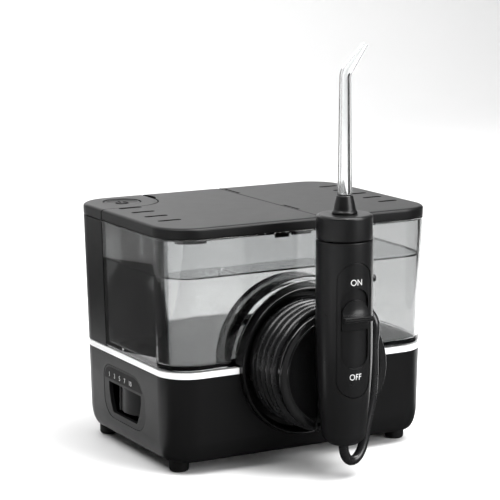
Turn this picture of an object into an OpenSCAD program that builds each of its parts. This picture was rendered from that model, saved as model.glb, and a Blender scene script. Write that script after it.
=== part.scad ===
// Countertop water flosser: a battery-driven pump in a black housing, a clear lift-off
// water tank, a hose wound on a front reel, and a handset docked on the reel's face.
// Millimetres. +Z is up, +Y points to the rear wall, and the origin lies on the table
// under the middle of the whole object without its hose.

/* [Body] */
// Width of the body at its top edge
body_w = 148; // [146:0.5:150]
// Depth of the body at its top edge
body_d = 109; // [107:0.5:111]
// Radius of the body's vertical corners at the top edge
corner_r = 18; // [17:0.5:19]
// Height of the top face above the table
top_z = 119.5; // [119:0.1:120]
// How much each wall leans in for every millimetre down
draft = 0.025; // [0.02:0.001:0.03]
// Wall thickness of the moulded shells
wall = 2.2; // [2:0.1:2.4]
// Height of the rubber feet
foot_h = 6; // [5.6:0.1:6]
// Radius of a rubber foot
foot_r = 4.7; // [4:0.1:5]
// Height of the top of the lower housing
housing_top = 47.6; // [47.4:0.1:47.7]
// Height of the top of the white trim band
band_top = 50.6; // [50.3:0.1:50.7]

/* [Tower] */
// Inner side of the rear left tower, from the middle
tower_x = -36; // [-37:0.5:-35.5]
// Front side of the tower, from the middle of the body
tower_y = 19.5; // [19:0.5:20]
// Radius of the tower's inner corner
tower_r = 18.5; // [18:0.5:19]
// Radius of the power button
button_r = 9.2; // [8.5:0.1:9.6]
// Travel of the power button
button_travel = 1.2; // [0.8:0.1:1.4]

/* [Reel] */
// Height of the reel's axis
reel_z = 50.4; // [50:0.1:51]
// Outer radius of the drum and its rear flange
drum_r = 36.3; // [36:0.1:36.6]
// Radius of the core that the hose is wound on
core_r = 25.9; // [25.5:0.1:26]
// Radius of the front flange that the handset docks on
dock_r = 29.3; // [29:0.1:29.8]
// Diameter of the hose
hose_d = 4.7; // [4.6:0.1:4.7]
// Number of hose turns on the reel
hose_turns = 5; // [5:1:5]

/* [Handset] */
// Distance of the handset's axis in front of the body's middle
handset_reach = 87.7; // [87.7:0.1:88]
// Radius of the handset's grip
grip_r = 13.3; // [13.2:0.1:13.3]
// Radius of the handset near its lower end
grip_low_r = 10.5; // [10:0.1:11]
// Height that the switch fin stands proud of the grip
fin_h = 3.3; // [2.8:0.1:3.4]
// Turn of the handset in its dock, seen from above
handset_turn = -5.5; // [-8:0.5:0]
// Bend of the tip's end from the vertical
tip_bend = 34.5; // [28:0.5:38]
// Direction that the bent end points in, from the right of the handset's front
tip_azimuth = -23.3; // [-60:0.1:0]

/* [Drive] */
// Module of the drive gears
gear_module = 0.8; // [0.8:0.1:0.8]
// Teeth of the crank gear
gear_teeth = 40; // [40:10:40]
// Teeth of the motor pinion
pinion_teeth = 10; // [10:10:10]
// Throw of the crank
crank_throw = 3; // [2.5:0.1:3]

/* [Hidden] */
$fn = 64;

// Colours
black = "#26272b";
dark = "#3a3c42";
white = "#f2f2f0";
clear = "#cfd8dc";
rubber = "#17181a";
steel = "#a9adb3";
brass = "#b08d45";
green = "#2f6b4a";
cell_blue = "#3d6f9e";
cream = "#d9d6cc";

// The whole object, without its hose, is centred on the origin front to back.
front_reach = handset_reach + grip_r + fin_h;
body_y = (front_reach - body_d / 2) / 2;

// Outline and clearances
corner_steps = 10;
far = 200;
gap = 0.3;
floor_z = 8.6;
cover_w = 108;
cover_d = 84;
boss_x = 50;
boss_y = 38;
boss_r = 4;
screw_r = 1.5;

// Feet: the rear pair stands further back than the front pair is forward.
foot_x = 61;
front_foot_y = -37;
rear_foot_y = 42;

// Tank and lid
tank_z = 50.9;
tank_top = 114;
lid_z = 114.4;
lid_skin = 2;
lip_z = 110.8;
tower_gap = 0.6;
recess_r = drum_r + 1.7;
recess_y = -36.3;
hinge_x = 9.6;
hinge_z = top_z - 1.2;
hinge_r = 1.2;
hinge_pin_r = 0.5;
front_lug = [-28, -13];
rear_lug = [33, 49];
seam_w = 1.4;
vent_w = 3;
vent_pitch = 14.4;

// Tower button
button_x = -54;
button_y = 37.5;
board_z = 106;
dome_h = 3.5;

// Reel, counted forward along -Y from the middle of the body
drum_back = 36.7;
drum_front = 47.7;
flange_back = drum_front + 0.1;
flange_front = 50.1;
bezel_front = 56.2;
coil_back = 50.3;
coil_front = coil_back + hose_turns * 5;
turn_r = core_r + 0.2 + hose_d / 2;
coil_r = turn_r + hose_d / 2;
dock_back = coil_front + 1.2;
dock_front = dock_back + 3;
saddle_r = grip_r + 0.3;

// Route of the loose hose, from the last turn down and round into the handset
hose_route = [
  [0.1, -71.7, 78.9], [4.5, -71.7, 79.4], [8.5, -72.2, 80.3], [12.5, -74, 80.4],
  [15.6, -76.8, 79.2], [18.3, -80, 76.9], [19.9, -82.4, 72.6], [19.9, -82.9, 67],
  [19.2, -83, 61], [19.2, -83.2, 49], [18.4, -83.4, 38.3], [16.8, -83.8, 30.8],
  [14.2, -84.6, 22.3], [12.9, -85.1, 16.5], [10.6, -85.9, 11.6], [7.5, -86.7, 8.7],
  [4.3, -87.3, 8.2], [1.8, -87.6, 10], [0.4, -87.7, 13], [0, -87.7, 16], [0, -87.7, 18.8]
];
hose_sides = 8;

// Handset, measured up from the table
grip_top = 114.6;
grip_bottom = 16.7;
taper_z = 62;
round_z = 24;
grip_wall = 2;
spigot_r = 8.7;
spigot_z = 108;
collar_z = 115.2;
collar_top = 126.5;
collar_r = 13.1;
socket_r = 3.6;
track_w = 17;
track_low = 42;
track_high = 105.4;
recess_w = 13.8;
recess_low = 55.7;
recess_high = 93.6;
recess_inset = 1.4;
slider_w = 13.2;
slider_low = 74;
slider_high = 88.2;
fin_w = 14.4;
fin_z = 79.6;
guide_z = 74.5;
eject_z = 95.2;
eject_r = 1.8;
cone_top = 135;
bend_z = 189;
bend_r = 7;
tip_end = 13.8;

// Pump, laid out about the crank's axis along X, and its outlet
crank_y = 8;
drive_z = 27;
pitch_r = gear_module * gear_teeth / 2;
pinion_pitch_r = gear_module * pinion_teeth / 2;
motor_y = crank_y - pitch_r - pinion_pitch_r;
motor_r = 14;
gear_x = 6;
gear_w = 4;
axle_r = 2;
pump_x = 15.3;
bore_r = 5;
strap_r = 8.3;
inlet_y = 40;
inlet_top = 43.8;
outlet_x = -1;
outlet_y = 46.7;
outlet_z = 43.8;

// Pressure dial, about its upright axis
dial_x = -54;
dial_y = 2.5;
dial_r = 16.3;
dial_fin_r = 17.5;
dial_rest = 31;
dial_low = 20;
dial_high = 33.2;

// Cells
cell_r = 9.2;
cell_l = 65;
cell_z = 19.3;
cell_xs = [37.5, 56.8];
cell_front = -32;

// Places the body's own middle in the object's frame.
module at_body() {
  translate([0, body_y, 0]) children();
}

// Lays a shape's +Z along the reel's axis, forwards.
module on_reel() {
  translate([0, 0, reel_z]) rotate([90, 0, 0]) children();
}

// Stands a shape on the handset's axis.
module on_handset() {
  translate([0, -handset_reach, 0]) rotate([0, 0, handset_turn]) children();
}

// Lays a shape's +Z along +X at a place beside the drive.
module along_x(x, y, z) {
  translate([x, y, z]) rotate([0, 90, 0]) children();
}

// Lays a shape's +Z along +Y.
module along_y(x, y, z) {
  translate([x, y, z]) rotate([-90, 0, 0]) children();
}

// Points of an arc, in order from one angle to the other.
function arc(cx, cy, r, from, to, steps) = [
  for (i = [0:steps]) let (a = from + (to - from) * i / steps) [cx + r * cos(a), cy + r * sin(a)]
];

// The body's outline at a height, inset from its drafted wall.
function outline(z, inset) = let (
    s = draft * (top_z - z) + inset,
    cx = body_w / 2 - corner_r,
    cy = body_d / 2 - corner_r,
    signs = [[1, 1], [-1, 1], [-1, -1], [1, -1]]
  ) [
    for (c = [0:3], p = arc(signs[c][0] * cx, signs[c][1] * cy, corner_r - s, 90 * c, 90 * c + 90, corner_steps))
      [p[0], p[1], z]
  ];

// A solid through the body's outline at a list of [height, inset] levels.
module loft(levels) {
  n = 4 * (corner_steps + 1);
  last = len(levels) - 1;
  points = [for (l = levels) each outline(l[0], l[1])];
  walls = [
    for (i = [0:last - 1], j = [0:n - 1])
      [i * n + j, (i + 1) * n + j, (i + 1) * n + (j + 1) % n, i * n + (j + 1) % n]
  ];
  bottom = [for (j = [0:n - 1]) j];
  top = [for (j = [n - 1:-1:0]) last * n + j];
  polyhedron(points, concat([bottom], walls, [top]));
}

// Plan of the tower's block, grown on its inner sides.
module tower_plan(grow = 0) {
  r = tower_r + grow;
  translate([tower_x - tower_r, tower_y + tower_r]) {
    circle(r = r);
    translate([-far, -r]) square([far, far + r]);
    translate([-far, 0]) square([far + r, far]);
  }
}

module tower_block(low, high, grow = 0) {
  translate([0, 0, low]) linear_extrude(high - low) tower_plan(grow);
}

// A plate with round corners, standing on z = 0.
module round_plate(w, d, r, h) {
  points = concat(
    arc(w / 2 - r, d / 2 - r, r, 0, 90, 8), arc(r - w / 2, d / 2 - r, r, 90, 180, 8),
    arc(r - w / 2, r - d / 2, r, 180, 270, 8), arc(w / 2 - r, r - d / 2, r, 270, 360, 8)
  );
  linear_extrude(h) polygon(points);
}

// A tube or rod with round joints through a list of points.
module pipe(points, r) {
  for (i = [0:len(points) - 2]) {
    d = points[i + 1] - points[i];
    translate(points[i])
      rotate([0, acos(d[2] / norm(d)), atan2(d[1], d[0])]) cylinder(h = norm(d), r = r);
  }
  for (i = [1:1:len(points) - 2])
    translate(points[i]) sphere(r = r);
}

// Sweeps a ring of points along a path with upright frames.
function unit(v) = v / norm(v);
function path_ring(path, i, r, sides) = let (
    last = len(path) - 1,
    t = unit(path[min(i + 1, last)] - path[max(i - 1, 0)]),
    side = unit(cross(t, [0, 1, 0])),
    up = cross(side, t)
  ) [for (k = [0:sides - 1]) path[i] + r * (cos(360 * k / sides) * side + sin(360 * k / sides) * up)];

module swept_tube(path, radii, sides) {
  last = len(path) - 1;
  points = [for (i = [0:last]) each path_ring(path, i, radii[i], sides)];
  walls = [
    for (i = [0:last - 1], k = [0:sides - 1])
      [i * sides + k, i * sides + (k + 1) % sides, (i + 1) * sides + (k + 1) % sides, (i + 1) * sides + k]
  ];
  first_cap = [for (k = [sides - 1:-1:0]) k];
  last_cap = [for (k = [0:sides - 1]) last * sides + k];
  polyhedron(points, concat([first_cap], walls, [last_cap]));
}

// A compression spring standing on z = 0.
module coil_spring(r, wire_r, height, turns) {
  steps = 12;
  sides = 6;
  n = turns * steps;
  rise = height - 2 * wire_r;
  function point(i) = [r * cos(360 * i / steps), r * sin(360 * i / steps), wire_r + rise * i / n];
  function ring(i) = let (
      out = [cos(360 * i / steps), sin(360 * i / steps), 0]
    ) [for (k = [0:sides - 1]) point(i) + wire_r * (cos(360 * k / sides) * out + [0, 0, sin(360 * k / sides)])];
  points = [for (i = [0:n]) each ring(i)];
  walls = [
    for (i = [0:n - 1], k = [0:sides - 1])
      [i * sides + k, i * sides + (k + 1) % sides, (i + 1) * sides + (k + 1) % sides, (i + 1) * sides + k]
  ];
  first_cap = [for (k = [sides - 1:-1:0]) k];
  last_cap = [for (k = [0:sides - 1]) n * sides + k];
  polyhedron(points, concat([first_cap], walls, [last_cap]));
}

// A spur gear with straight-flanked teeth and backlash, standing on z = 0.
module spur_gear(teeth, width) {
  pitch = gear_module * teeth / 2;
  root = pitch - 1.1 * gear_module;
  tip = pitch + 0.9 * gear_module;
  root_half = 0.32 * 360 / teeth;
  tip_half = 0.12 * 360 / teeth;
  points = [
    for (i = [0:teeth - 1], p = [[root, -root_half], [tip, -tip_half], [tip, tip_half], [root, root_half]])
      let (a = 360 * i / teeth + p[1]) [p[0] * cos(a), p[0] * sin(a)]
  ];
  linear_extrude(width) polygon(points);
}

// ---- Housing ----

module foot_places() {
  for (x = [-foot_x, foot_x], y = [front_foot_y, rear_foot_y])
    translate([x, y, 0]) children();
}

module boss_places() {
  for (x = [-boss_x, boss_x], y = [-boss_y, boss_y])
    translate([x, y, 0]) children();
}

module lower_housing() {
  rib_w = 2;
  rib_l = 11.5;
  boss_top = 20;
  color(black) at_body() difference() {
    union() {
      difference() {
        loft([[foot_h, 4.6], [foot_h + 1, 2.9], [foot_h + 3, 1.4], [foot_h + 6, 0.5], [foot_h + 10, 0],
              [housing_top, 0]]);
        loft([[floor_z, wall + 3.2], [foot_h + 6, wall + 0.5], [foot_h + 10, wall], [housing_top + 1, wall]]);
      }
      boss_places() translate([0, 0, floor_z - 0.1]) cylinder(h = boss_top - floor_z, r = boss_r);
      for (x = [-boss_x, boss_x], s = [-1, 1])
        translate([x - rib_w / 2, s > 0 ? boss_y : -boss_y - rib_l, floor_z - 0.1])
          cube([rib_w, rib_l, boss_top - floor_z - 4]);
    }
    translate([0, 0, foot_h - 1]) round_plate(cover_w, cover_d, 6, floor_z - foot_h + 1.01);
    boss_places() cylinder(h = boss_top - 2, r = screw_r + 0.05);
    foot_places() cylinder(h = foot_h + 0.5, r = foot_r + 0.1);
    on_reel() cylinder(h = far, r = drum_r + 0.15);
    dial_opening(0.25, far);
    along_y(45, 40, cell_z + 0.7) cylinder(h = 20, r = 7.15);
  }
}

module bottom_cover() {
  color(black) at_body() difference() {
    translate([0, 0, foot_h]) round_plate(cover_w - 2 * gap, cover_d - 2 * gap, 6 - gap, 2.4);
    boss_places() cylinder(h = far, r = screw_r + 0.3);
    boss_places() translate([0, 0, foot_h - 1]) cylinder(h = 2.4, r = 3.2);
  }
}

module cover_screws() {
  head_h = 1.3;
  color(steel) at_body() boss_places() difference() {
    union() {
      translate([0, 0, foot_h + 0.1]) cylinder(h = head_h, r = 3);
      translate([0, 0, foot_h + head_h]) cylinder(h = 9, r = screw_r);
    }
    translate([-2, -0.4, foot_h]) cube([4, 0.8, 0.8]);
    translate([-0.4, -2, foot_h]) cube([0.8, 4, 0.8]);
  }
}

module rubber_feet() {
  color(rubber) at_body() foot_places() {
    cylinder(h = 1, r1 = foot_r - 0.7, r2 = foot_r);
    translate([0, 0, 1]) cylinder(h = foot_h - 0.6, r = foot_r);
  }
}

module trim_band() {
  color(white) at_body() difference() {
    loft([[housing_top + 0.1, 0], [band_top, 0]]);
    loft([[housing_top - 1, wall], [band_top + 1, wall]]);
    on_reel() cylinder(h = far, r = drum_r + 0.15);
  }
}

module top_deck() {
  sleeve_r = 8;
  color(black) at_body() difference() {
    union() {
      loft([[housing_top + 0.2, wall + gap], [band_top - 0.1, wall + gap]]);
      translate([pump_x, inlet_y, 44]) cylinder(h = 5, r = sleeve_r);
    }
    on_reel() translate([0, 0, drum_back - 0.3]) cylinder(h = far, r = drum_r + 0.15);
    translate([pump_x, inlet_y, 44.6]) cylinder(h = 10, r = 5.4);
    translate([pump_x, inlet_y, 40]) cylinder(h = 10, r = 2.2);
    translate([-64, 28, 40]) cube([20, 14, 20]);
  }
}

// ---- Tower ----

module tower_shell() {
  ledge_z = board_z - 2.1;
  color(black) at_body() {
    difference() {
      intersection() {
        loft([[tank_z, 0], [tank_top, 0]]);
        tower_block(tank_z - 1, tank_top + 1);
      }
      intersection() {
        loft([[tank_z - 1, wall], [tank_top + 1, wall]]);
        tower_block(tank_z - 2, tank_top + 2, -wall);
      }
    }
    translate([-72.5, 34, ledge_z]) cube([8.5, 11, 2]);
    translate([-44, 34, ledge_z]) cube([7, 11, 2]);
  }
}

// Solid of the top face's rounded slab, shared by the cap and both lids.
module top_slab(inset) {
  loft([[lid_z, inset], [top_z - 2.1, inset], [top_z - 1, inset + 0.4], [top_z - 0.3, inset + 1.2],
        [top_z, inset + 2.4]]);
}

module tower_cap() {
  color(black) at_body() difference() {
    intersection() {
      top_slab(0);
      tower_block(lid_z - 1, top_z + 1);
    }
    intersection() {
      loft([[lid_z - 1, wall], [top_z - lid_skin, wall]]);
      tower_block(lid_z - 2, top_z - lid_skin, -wall);
    }
    translate([button_x, button_y, lid_z]) cylinder(h = 10, r = button_r + 0.35);
  }
}

module power_button() {
  disc_z = top_z - 2.6;
  stem_z = board_z + dome_h + button_travel + 0.2;
  color(dark) at_body() translate([button_x, button_y, 0]) {
    translate([0, 0, disc_z]) cylinder(h = 2.4, r = button_r);
    translate([0, 0, stem_z]) cylinder(h = disc_z - stem_z + 0.1, r = 2);
  }
}

module button_board() {
  color(green) at_body() {
    translate([button_x - 11, button_y - 9, board_z]) cube([22, 18, 1.6]);
    translate([button_x, button_y, board_z + 1.5]) cylinder(h = dome_h - 1.5, r = 3);
    translate([button_x - 10, button_y - 8, board_z + 1.5]) cube([3, 5, 2.2]);
  }
}

module button_spring() {
  height = top_z - 2.6 - board_z - 1.6;
  color(steel) at_body() translate([button_x, button_y, board_z + 1.6])
    coil_spring(5, 0.4, height, 5);
}

// ---- Reel ----

module reel_drum() {
  drum_wall = 2.5;
  color(black) at_body() on_reel() difference() {
    translate([0, 0, drum_back]) cylinder(h = drum_front - drum_back, r = drum_r, $fn = 96);
    translate([0, 0, drum_back + drum_wall]) cylinder(h = far, r = drum_r - drum_wall, $fn = 96);
    translate([outlet_x, outlet_z - reel_z, 0]) cylinder(h = far, r = 1.2);
  }
}

module reel_flange() {
  bezel_w = 1.8;
  color(black) at_body() on_reel() rotate_extrude($fn = 96) polygon([
    [20, flange_back], [drum_r, flange_back], [drum_r, bezel_front - 0.6], [drum_r - 0.6, bezel_front],
    [drum_r - bezel_w, bezel_front], [drum_r - bezel_w - 0.8, flange_front], [20, flange_front]
  ]);
}

module reel_core() {
  core_wall = 2.3;
  color(black) at_body() difference() {
    on_reel() difference() {
      translate([0, 0, flange_front]) cylinder(h = dock_back - flange_front, r = core_r, $fn = 96);
      translate([0, 0, flange_front - 1]) cylinder(h = far, r = core_r - core_wall, $fn = 96);
      translate([0, 0, flange_front + 3.6]) rotate([0, 90, 0]) cylinder(h = far, r = 2.2);
    }
    on_handset() cylinder(h = far, r = saddle_r, $fn = 96);
  }
}

// Front flange, hollowed to the handset's round back.
module dock_plate() {
  hub_r = core_r - 2.6;
  hub_back = 66;
  color(black) at_body() difference() {
    on_reel() rotate_extrude($fn = 96) polygon([
      [0, hub_back], [hub_r, hub_back], [hub_r, dock_back], [dock_r, dock_back], [dock_r, dock_front - 0.8],
      [dock_r - 0.8, dock_front], [24.6, dock_front], [24.2, dock_front - 0.5], [23.8, dock_front], [0, dock_front]
    ]);
    on_handset() cylinder(h = far, r = saddle_r, $fn = 96);
    translate([-6.2, -72, reel_z - 6.7]) cube([12.4, 12, 13.4]);
  }
}

module dock_magnet() {
  color(steel) at_body() translate([-6, -71.8, reel_z - 6.5]) cube([12, 5, 13]);
}

// The four turns lie side by side; the last one leaves at the right, downwards.
module hose_coil() {
  color(rubber) at_body() difference() {
    on_reel() rotate_extrude($fn = 96) translate([core_r + 0.1, coil_back])
      square([coil_r - core_r - 0.1, coil_front - coil_back]);
    on_handset() cylinder(h = far, r = saddle_r, $fn = 96);
    translate([0, -coil_front - 1, reel_z - 25]) cube([40, 7.3, 65]);
  }
}

module hose_lead() {
  color(rubber) at_body() swept_tube(hose_route, [for (p = hose_route) hose_d / 2], hose_sides);
}

// ---- Pressure dial ----

function dial_outline(grow) = concat(
  arc(13.5, 25.5, 10 + grow, -90, 0, 8),
  arc(16.5, 35, 7 + grow, 0, 90, 8),
  arc(-9.5, 29, 13 + grow, 90, 180, 10),
  arc(-12.5, 25.5, 10 + grow, 180, 270, 8)
);

// Window in the bezel, wider at the top than at the bottom
dial_window = [
  [17.9, 33.6], [-18.3, 33.6], [-18.2, 30], [-16.4, 24.5], [-13.8, 19.6],
  [-12.5, 18.4], [13.2, 18.4], [14.9, 19.8], [16.8, 24], [17.8, 29]
];

module dial_opening(grow, depth) {
  translate([-depth, 0, 0]) rotate([90, 0, 90]) linear_extrude(depth - 55) polygon(dial_outline(grow));
}

module dial_bezel() {
  color(dark) at_body() difference() {
    intersection() {
      difference() {
        loft([[foot_h + 4, 0.1], [housing_top, 0.1]]);
        loft([[foot_h + 3, wall], [housing_top + 1, wall]]);
      }
      dial_opening(0, 100);
    }
    translate([-90, 0, 0]) rotate([90, 0, 90]) linear_extrude(30) polygon(dial_window);
  }
}

module pressure_dial() {
  fin_t = 2.6;
  color(black) at_body() translate([dial_x, dial_y, 0]) {
    translate([0, 0, dial_low]) cylinder(h = dial_high - dial_low, r = dial_r);
    rotate([0, 0, 180 - dial_rest]) translate([0, -fin_t / 2, dial_low + 0.1])
      cube([dial_fin_r, fin_t, dial_high - dial_low - 0.2]);
    translate([0, 0, dial_low - 5]) cylinder(h = 5.1, r = 2);
    translate([0, 0, dial_high - 0.1]) cylinder(h = 5, r = 2.5);
  }
}

module dial_post() {
  color(dark) at_body() translate([dial_x, dial_y, 0]) difference() {
    translate([0, 0, floor_z + 0.1]) cylinder(h = dial_low - floor_z - 0.4, r = 5);
    translate([0, 0, dial_low - 5.3]) cylinder(h = 10, r = 2.05);
  }
}

module pressure_valve() {
  color(cream) at_body() translate([dial_x, dial_y, 0]) difference() {
    union() {
      translate([0, 0, dial_high + 0.4]) cylinder(h = 12, r = 7);
      translate([0, 0, 42]) rotate([0, 90, 0]) cylinder(h = 11, r = 2);
    }
    translate([0, 0, dial_high]) cylinder(h = 7, r = 2.55);
    translate([5, 0, 42]) rotate([0, 90, 0]) cylinder(h = 10, r = 1);
  }
}

// ---- Pump ----

module pump_motor() {
  length = 36;
  color(steel) at_body() along_x(-33, motor_y, drive_z) difference() {
    union() {
      cylinder(h = length, r = motor_r);
      translate([0, 0, -1.5]) cylinder(h = 2, r = 4);
    }
    translate([0, 0, length - 3]) cylinder(h = 5, r = 1.25);
    for (y = [-8, 8]) translate([0, y, -1]) cylinder(h = 3, r = 1);
  }
}

module motor_shaft() {
  color(steel) at_body() along_x(0.2, motor_y, drive_z) cylinder(h = 11, r = 1.15);
}

module motor_pinion() {
  color(brass) at_body() along_x(gear_x - 0.5, motor_y, drive_z) difference() {
    spur_gear(pinion_teeth, gear_w + 1);
    translate([0, 0, -1]) cylinder(h = 10, r = 1.16);
  }
}

module motor_bracket() {
  plate_x = 3.3;
  plate_t = 1.4;
  color(dark) at_body() difference() {
    union() {
      translate([plate_x, -26, floor_z + 0.2]) cube([plate_t, 40, 31]);
      along_x(-4, crank_y, drive_z) cylinder(h = 8, r = 4);
      translate([plate_x - 3, -26, floor_z + 0.2]) cube([3.2, 11, 2]);
      translate([-6, 4, floor_z + 0.2]) cube([9.5, 10, 2]);
    }
    along_x(0, motor_y, drive_z) cylinder(h = 10, r = 3);
    along_x(-5, crank_y, drive_z) cylinder(h = 12, r = axle_r);
  }
}

module gear_axle() {
  color(steel) at_body() along_x(-4, crank_y, drive_z) cylinder(h = 14.2, r = axle_r);
}

module crank_gear() {
  disc_x = gear_x + gear_w;
  color(cream) at_body() difference() {
    union() {
      along_x(gear_x, crank_y, drive_z) spur_gear(gear_teeth, gear_w);
      along_x(disc_x - 0.1, crank_y, drive_z) cylinder(h = 1.6, r = 7);
      along_x(disc_x, crank_y + crank_throw, drive_z) cylinder(h = 8, r = 2);
    }
    along_x(gear_x - 1, crank_y, drive_z) cylinder(h = 5.4, r = axle_r + 0.05);
    for (a = [45:90:315])
      along_x(gear_x - 1, crank_y, drive_z) rotate(a) translate([10.5, 0, 0]) cylinder(h = 8, r = 2.6);
  }
}

// The strap is wide enough for the crank pin to pass at every angle and stroke.
module piston_rod() {
  strap_w = 4.6;
  strap_wall = 2;
  outer = strap_r + strap_wall;
  color(cream) at_body() {
    along_x(pump_x - strap_w / 2, crank_y, drive_z) difference() {
      cylinder(h = strap_w, r = outer);
      translate([0, 0, -1]) cylinder(h = strap_w + 2, r = strap_r);
    }
    along_y(pump_x, crank_y + outer - 0.5, drive_z) cylinder(h = 10, r = 1.9);
    along_y(pump_x, 27, drive_z) difference() {
      cylinder(h = 8, r = bore_r - 0.3);
      translate([0, 0, 5]) difference() {
        cylinder(h = 1.5, r = bore_r);
        translate([0, 0, -1]) cylinder(h = 4, r = bore_r - 1.2);
      }
    }
  }
}

module piston_seal() {
  color(rubber) at_body() along_y(pump_x, 32.1, drive_z) difference() {
    cylinder(h = 1.3, r = bore_r - 0.05);
    translate([0, 0, -1]) cylinder(h = 4, r = bore_r - 1.15);
  }
}

module pump_cylinder() {
  color(dark) at_body() difference() {
    union() {
      along_y(pump_x, 25.2, drive_z) cylinder(h = 18.8, r = 8);
      translate([pump_x, inlet_y, drive_z]) cylinder(h = inlet_top - drive_z, r = 4);
      translate([pump_x - 7, 30, floor_z + 0.2]) cube([14, 12, drive_z - floor_z - 5]);
    }
    along_y(pump_x, 20, drive_z) cylinder(h = 30, r = bore_r);
    translate([pump_x, inlet_y, drive_z]) cylinder(h = 20, r = 2.1);
  }
}

module pump_head() {
  color(dark) at_body() difference() {
    translate([-4, 44.2, 16]) cube([29, 5, 22.4]);
    along_y(pump_x, 43, drive_z) cylinder(h = 3.7, r = 3.2);
    along_x(0, outlet_y, drive_z) cylinder(h = pump_x, r = 1);
    translate([outlet_x, outlet_y, drive_z]) cylinder(h = 20, r = 1.2);
  }
}

module check_valves() {
  color(rubber) at_body() {
    along_y(pump_x, 45.3, drive_z) cylinder(h = 1, r = 2.9);
    translate([pump_x, inlet_y, 36]) cylinder(h = 1, r = 1.9);
  }
}

module inlet_seal() {
  color(rubber) at_body() translate([pump_x, inlet_y, 44.8]) difference() {
    cylinder(h = 2, r = 5.35);
    translate([0, 0, -1]) cylinder(h = 4, r = 4.65);
  }
}

module outlet_tube() {
  route = [[outlet_x, outlet_y, 38.5], [outlet_x, outlet_y, outlet_z], [outlet_x, 0.2 - drum_back, outlet_z]];
  color(clear) at_body() pipe(route, 1.9);
}

// ---- Power ----

module battery_cells() {
  color(cell_blue) at_body() for (x = cell_xs) {
    along_y(x, cell_front, cell_z) cylinder(h = cell_l - 1, r = cell_r);
    along_y(x, cell_front + cell_l - 1.1, cell_z) cylinder(h = 1, r = 3);
  }
}

module battery_cradle() {
  low_x = 27.2;
  width = 38.2;
  color(dark) at_body() difference() {
    union() {
      translate([low_x, cell_front - 0.8, floor_z + 0.2]) cube([width, cell_l + 1.6, 7.5]);
      translate([low_x, cell_front - 1.8, floor_z + 0.2]) cube([width, 1.5, 22]);
      translate([low_x, cell_front + cell_l + 0.3, floor_z + 0.2]) cube([width, 0.6, 22]);
    }
    for (x = cell_xs)
      along_y(x, cell_front - 0.2, cell_z) cylinder(h = cell_l + 0.4, r = cell_r + 0.15);
  }
}

module control_board() {
  color(green) at_body() {
    translate([29, -33, 31]) cube([36, 66, 1.6]);
    translate([34, -12, 32.5]) cube([9, 9, 1.4]);
    translate([50, -20, 32.5]) cube([8, 12, 5]);
    translate([33, 12, 32.5]) cube([6, 10, 6]);
    for (y = [2, 10, 18])
      translate([56, y, 32.5]) cylinder(h = 7, r = 3);
  }
}

module charge_socket() {
  color(dark) at_body() along_y(45, 44, cell_z + 0.7) {
    difference() {
      cylinder(h = 7.8, r = 7);
      translate([0, 0, 6]) cylinder(h = 5, r = 5);
    }
    for (x = [-2, 2]) translate([x, 0, 5]) cylinder(h = 2, r = 0.8);
  }
}

// ---- Tank ----

module water_tank() {
  nozzle_r = 4.6;
  bore = 3.4;
  floor_t = 2.2;
  color(clear, 0.4) at_body() {
    difference() {
      union() {
        difference() {
          loft([[tank_z, 0.1], [tank_top, 0.1]]);
          tower_block(tank_z - 1, tank_top + 1, tower_gap);
          on_reel() translate([0, 0, -recess_y]) cylinder(h = far, r = recess_r, $fn = 96);
          difference() {
            loft([[tank_z + floor_t, wall], [tank_top + 1, wall]]);
            tower_block(tank_z, tank_top + 2, tower_gap + wall);
            on_reel() translate([0, 0, -recess_y - wall]) cylinder(h = far, r = recess_r + wall, $fn = 96);
          }
        }
        translate([pump_x, inlet_y, 45.2]) cylinder(h = 6, r = nozzle_r);
      }
      translate([pump_x, inlet_y, 45]) cylinder(h = 10, r = bore);
    }
    translate([pump_x, inlet_y, 50.6]) difference() {
      union() {
        cylinder(h = 0.8, r = 2);
        for (a = [0, 90]) rotate(a) translate([-bore - 0.2, -0.5, 0]) cube([2 * bore + 0.4, 1, 0.8]);
      }
      translate([0, 0, -1]) cylinder(h = 4, r = 1.3);
    }
  }
}

module valve_plunger() {
  color(rubber) at_body() translate([pump_x, inlet_y, 0]) {
    translate([0, 0, 46]) cylinder(h = 8, r = 1.2);
    translate([0, 0, 45.7]) cylinder(h = 0.6, r = 2.7);
    translate([0, 0, 53.2]) cylinder(h = 1.4, r = 5);
  }
}

module valve_spring() {
  color(steel) at_body() translate([pump_x, inlet_y, 46.35]) coil_spring(2.1, 0.3, 4.2, 3);
}

// ---- Lids ----

// A row of vent slots along one side of the lid.
module vents(low_x, high_x, ys) {
  for (y = ys)
    translate([low_x, y - vent_w / 2, lid_z]) cube([high_x - low_x, vent_w, 10]);
}

// Both lids as one slab, before the seam parts them.
module lid_slab() {
  lip_inset = wall + 0.7;
  lip_t = 1.6;
  difference() {
    union() {
      difference() {
        top_slab(0.15);
        difference() {
          loft([[lid_z - 1, wall], [top_z - lid_skin, wall]]);
          tower_block(lid_z - 2, top_z, 0.4 + lid_skin);
        }
      }
      difference() {
        loft([[lip_z, lip_inset], [top_z - lid_skin + 0.1, lip_inset]]);
        tower_block(lip_z - 1, top_z, tower_gap + wall + 0.7);
        difference() {
          loft([[lip_z - 1, lip_inset + lip_t], [top_z, lip_inset + lip_t]]);
          tower_block(lip_z - 2, top_z + 1, tower_gap + wall + 0.7 + lip_t);
        }
      }
    }
    tower_block(lip_z - 1, top_z + 1, 0.4);
    translate([tower_x, tower_y + tower_r, lip_z]) cube([seam_w, far, 20]);
    vents(-65, -53.5, [for (i = [0:3]) 17 - i * vent_pitch]);
    vents(57, 67, [for (i = [0:4]) 30.2 - i * vent_pitch]);
  }
}

module hinge_rod(low, high, r) {
  along_y(hinge_x, low, hinge_z) cylinder(h = high - low, r = r, $fn = 32);
}

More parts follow.
